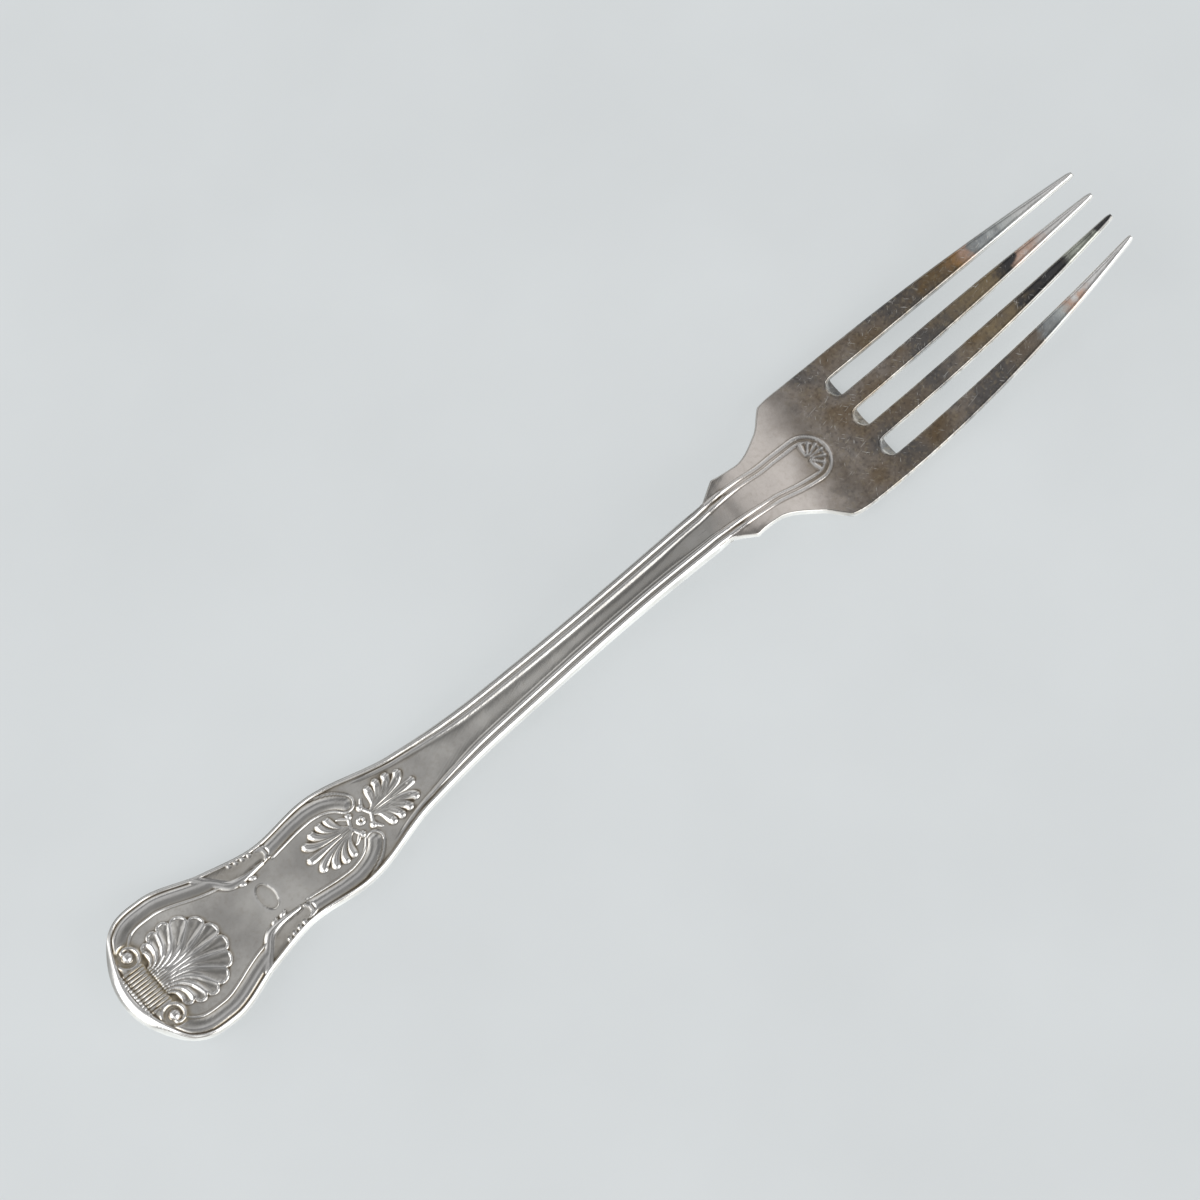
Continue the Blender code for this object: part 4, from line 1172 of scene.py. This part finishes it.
base = coat(base, GRIME, stored("grime"), ramp(specks, 0.35, 0.65, 0.25, 0.8))
# Painted shade: near black where the recess number runs high.
base = coat(base, RECESS_SHADE, ramp(recessed, 0.5, 1.0, 0.0, 0.88))
# Polish on the raised forms, and a painted highlight on the shell's middle and the cuffs' ribbons.
base = coat(base, BRIGHT, ramp(stored("polish_and_highlight"), 0.05, 0.6, 0.0, 0.85))
base = coat(base, STRAW, before_tips, ramp(flecks, 0.54, 0.66, 0.0, 0.45))
base = coat(base, SILVER, nicks, on_tines, NICK_SHARE)
links.new(base, shader.inputs["Base Color"])
rough = plus(ramp(clouds, 0.3, 0.7, 0.10, 0.19), ramp(specks, 0.4, 0.8, 0.0, 0.10))
links.new(rough, shader.inputs["Roughness"])
dents = put("ShaderNodeBump", Strength=DENT_STRENGTH, Distance=DENT_DEPTH)
links.new(noise(scale=0.10, detail=2.0), dents.inputs["Height"])
scratched = put("ShaderNodeBump", Strength=SCRATCH_STRENGTH, Distance=SCRATCH_DEPTH)
links.new(plus(scratches, times(cross_scratches, CROSS_SCRATCHES)), scratched.inputs["Height"])
links.new(dents.outputs["Normal"], scratched.inputs["Normal"])
links.new(scratched.outputs["Normal"], shader.inputs["Normal"])
skin.materials.append(silver)

# The table: a plain pale surface under the fork, that isn't part of it. The camera sees it at a steady
# brightness with a faint mottle, and it keeps the fork's soft shadow. The silver mirrors it brighter on
# the near side of the fork and darker on the far side.
TABLE_SIZE = 6.0
TABLE_COLOUR = (0.235, 0.24, 0.245, 1)
TABLE_ROUGHNESS = 0.8
TABLE_GLOSS = 0.1
TABLE_GLOW = (0.468, 0.493, 0.50, 1)
TABLE_MOTTLE = 0.035
MOTTLE_SCALE = 22.0
MOTTLE_DETAIL = 6.0
NEAR_SIDE = 1.9
FAR_SIDE = 0.6
SIDES_MEET = (-0.002, 0.012)
work = bmesh.new()
bmesh.ops.create_grid(work, x_segments=1, y_segments=1, size=TABLE_SIZE / 2)
table_mesh = bpy.data.meshes.new("table")
work.to_mesh(table_mesh)
work.free()
table = bpy.data.objects.new("table", table_mesh)
bpy.context.scene.collection.objects.link(table)

pale = bpy.data.materials.new("pale_table")
pale.use_nodes = True
nodes, links = pale.node_tree.nodes, pale.node_tree.links
shader = nodes["Principled BSDF"]
shader.inputs["Base Color"].default_value = TABLE_COLOUR
shader.inputs["Roughness"].default_value = TABLE_ROUGHNESS
shader.inputs["Specular IOR Level"].default_value = TABLE_GLOSS
shader.inputs["Emission Color"].default_value = TABLE_GLOW
ray = put("ShaderNodeLightPath").outputs
on_table = put("ShaderNodeTexCoord").outputs["Object"]
grain = put("ShaderNodeTexNoise", Scale=MOTTLE_SCALE, Detail=MOTTLE_DETAIL)
split = put("ShaderNodeSeparateXYZ")
links.new(on_table, grain.inputs["Vector"])
links.new(on_table, split.inputs["Vector"])
mottled = ramp(grain.outputs["Fac"], 0.3, 0.7, 1 - TABLE_MOTTLE, 1 + TABLE_MOTTLE)
sided = ramp(split.outputs["Y"], *SIDES_MEET, NEAR_SIDE, FAR_SIDE)
shown = times(ray["Is Camera Ray"], mottled)
mirrored = times(ray["Is Glossy Ray"], sided)
links.new(combine("MAXIMUM", shown, mirrored), shader.inputs["Emission Strength"])
table_mesh.materials.append(pale)

# The light: two broad soft panels stand on the camera's left and right. The surroundings are grey, with
# paler and darker strips that lie along the fork and across it, brightest over the handle's end and
# low on the far side. A strip is a direction, from -1 to 1, and its brightness.
LENGTHWAYS = (
    (-0.9, 0.5), (-0.62, 0.7), (-0.43, 1.25), (-0.32, 0.95), (-0.2, 0.56), (-0.1, 0.41), (0.24, 0.41),
    (0.31, 0.5), (0.4, 0.36), (0.48, 0.34), (0.6, 0.46), (0.78, 0.62), (0.9, 0.72))
CROSSWAYS = (
    (-0.45, 0.5), (-0.24, 0.31), (0.02, 0.31), (0.11, 0.6), (0.34, 0.6), (0.45, 0.28), (0.6, 0.28),
    (0.7, 0.95), (0.82, 0.95), (0.93, 0.35))
CROSSWAYS_SCALE = 0.6
PANELS = (("right_panel", (0.35, -0.85, 0.42), 1.1, 1.6), ("left_panel", (-0.85, 0.15, 0.50), 1.3, 1.6))
PANEL_DISTANCE = 1.2
world = bpy.data.worlds.new("studio")
bpy.context.scene.world = world
world.use_nodes = True
nodes, links = world.node_tree.nodes, world.node_tree.links
split = put("ShaderNodeSeparateXYZ")
links.new(put("ShaderNodeTexCoord").outputs["Generated"], split.inputs["Vector"])
strips = []
for axis, brightnesses in (("X", LENGTHWAYS), ("Y", CROSSWAYS)):
    stops = [((direction + 1) / 2, (brightness,) * 3) for direction, brightness in brightnesses]
    strips.append(graded(ramp(split.outputs[axis], -1.0, 1.0), stops))
links.new(times(*strips, 1 / CROSSWAYS_SCALE), nodes["Background"].inputs["Color"])
for name, toward, size, strength in PANELS:
    lamp = bpy.data.lights.new(name, "AREA")
    lamp.size = size
    lamp.energy = strength * math.pi * size * size
    panel = bpy.data.objects.new(name, lamp)
    bpy.context.scene.collection.objects.link(panel)
    toward = Vector(toward).normalized()
    facing = toward.to_track_quat("Z", "Y").to_matrix().to_4x4()
    panel.matrix_world = Matrix.Translation(toward * PANEL_DISTANCE) @ facing

# The camera: looks down on the fork from over the handle, as in the photo. Its focal length is given
# in the photo's pixels.
AZIMUTH = math.radians(-40.292)
ELEVATION = math.radians(72.0)
DISTANCE = 0.75
FOCUS_PIXELS = 4640.16
PHOTO_WIDTH = 1200
SENSOR_WIDTH = 36.0
NEAREST = 0.01
AIM = Vector((-0.00242, 0.00324, 0.004))
camera_data = bpy.data.cameras.new("camera")
camera_data.sensor_fit = "HORIZONTAL"
camera_data.sensor_width = SENSOR_WIDTH
camera_data.lens = FOCUS_PIXELS / PHOTO_WIDTH * SENSOR_WIDTH
camera_data.clip_start = NEAREST
camera = bpy.data.objects.new("camera", camera_data)
bpy.context.scene.collection.objects.link(camera)
level = math.cos(ELEVATION)
back_way = Vector((math.sin(AZIMUTH) * level, -math.cos(AZIMUTH) * level, math.sin(ELEVATION)))
right_way = Vector((math.cos(AZIMUTH), math.sin(AZIMUTH), 0))
up_way = back_way.cross(right_way)
turned = Matrix((right_way, up_way, back_way)).transposed().to_4x4()
turned.translation = AIM + back_way * DISTANCE
camera.matrix_world = turned
bpy.context.scene.camera = camera
bpy.context.scene.view_settings.view_transform = "Standard"
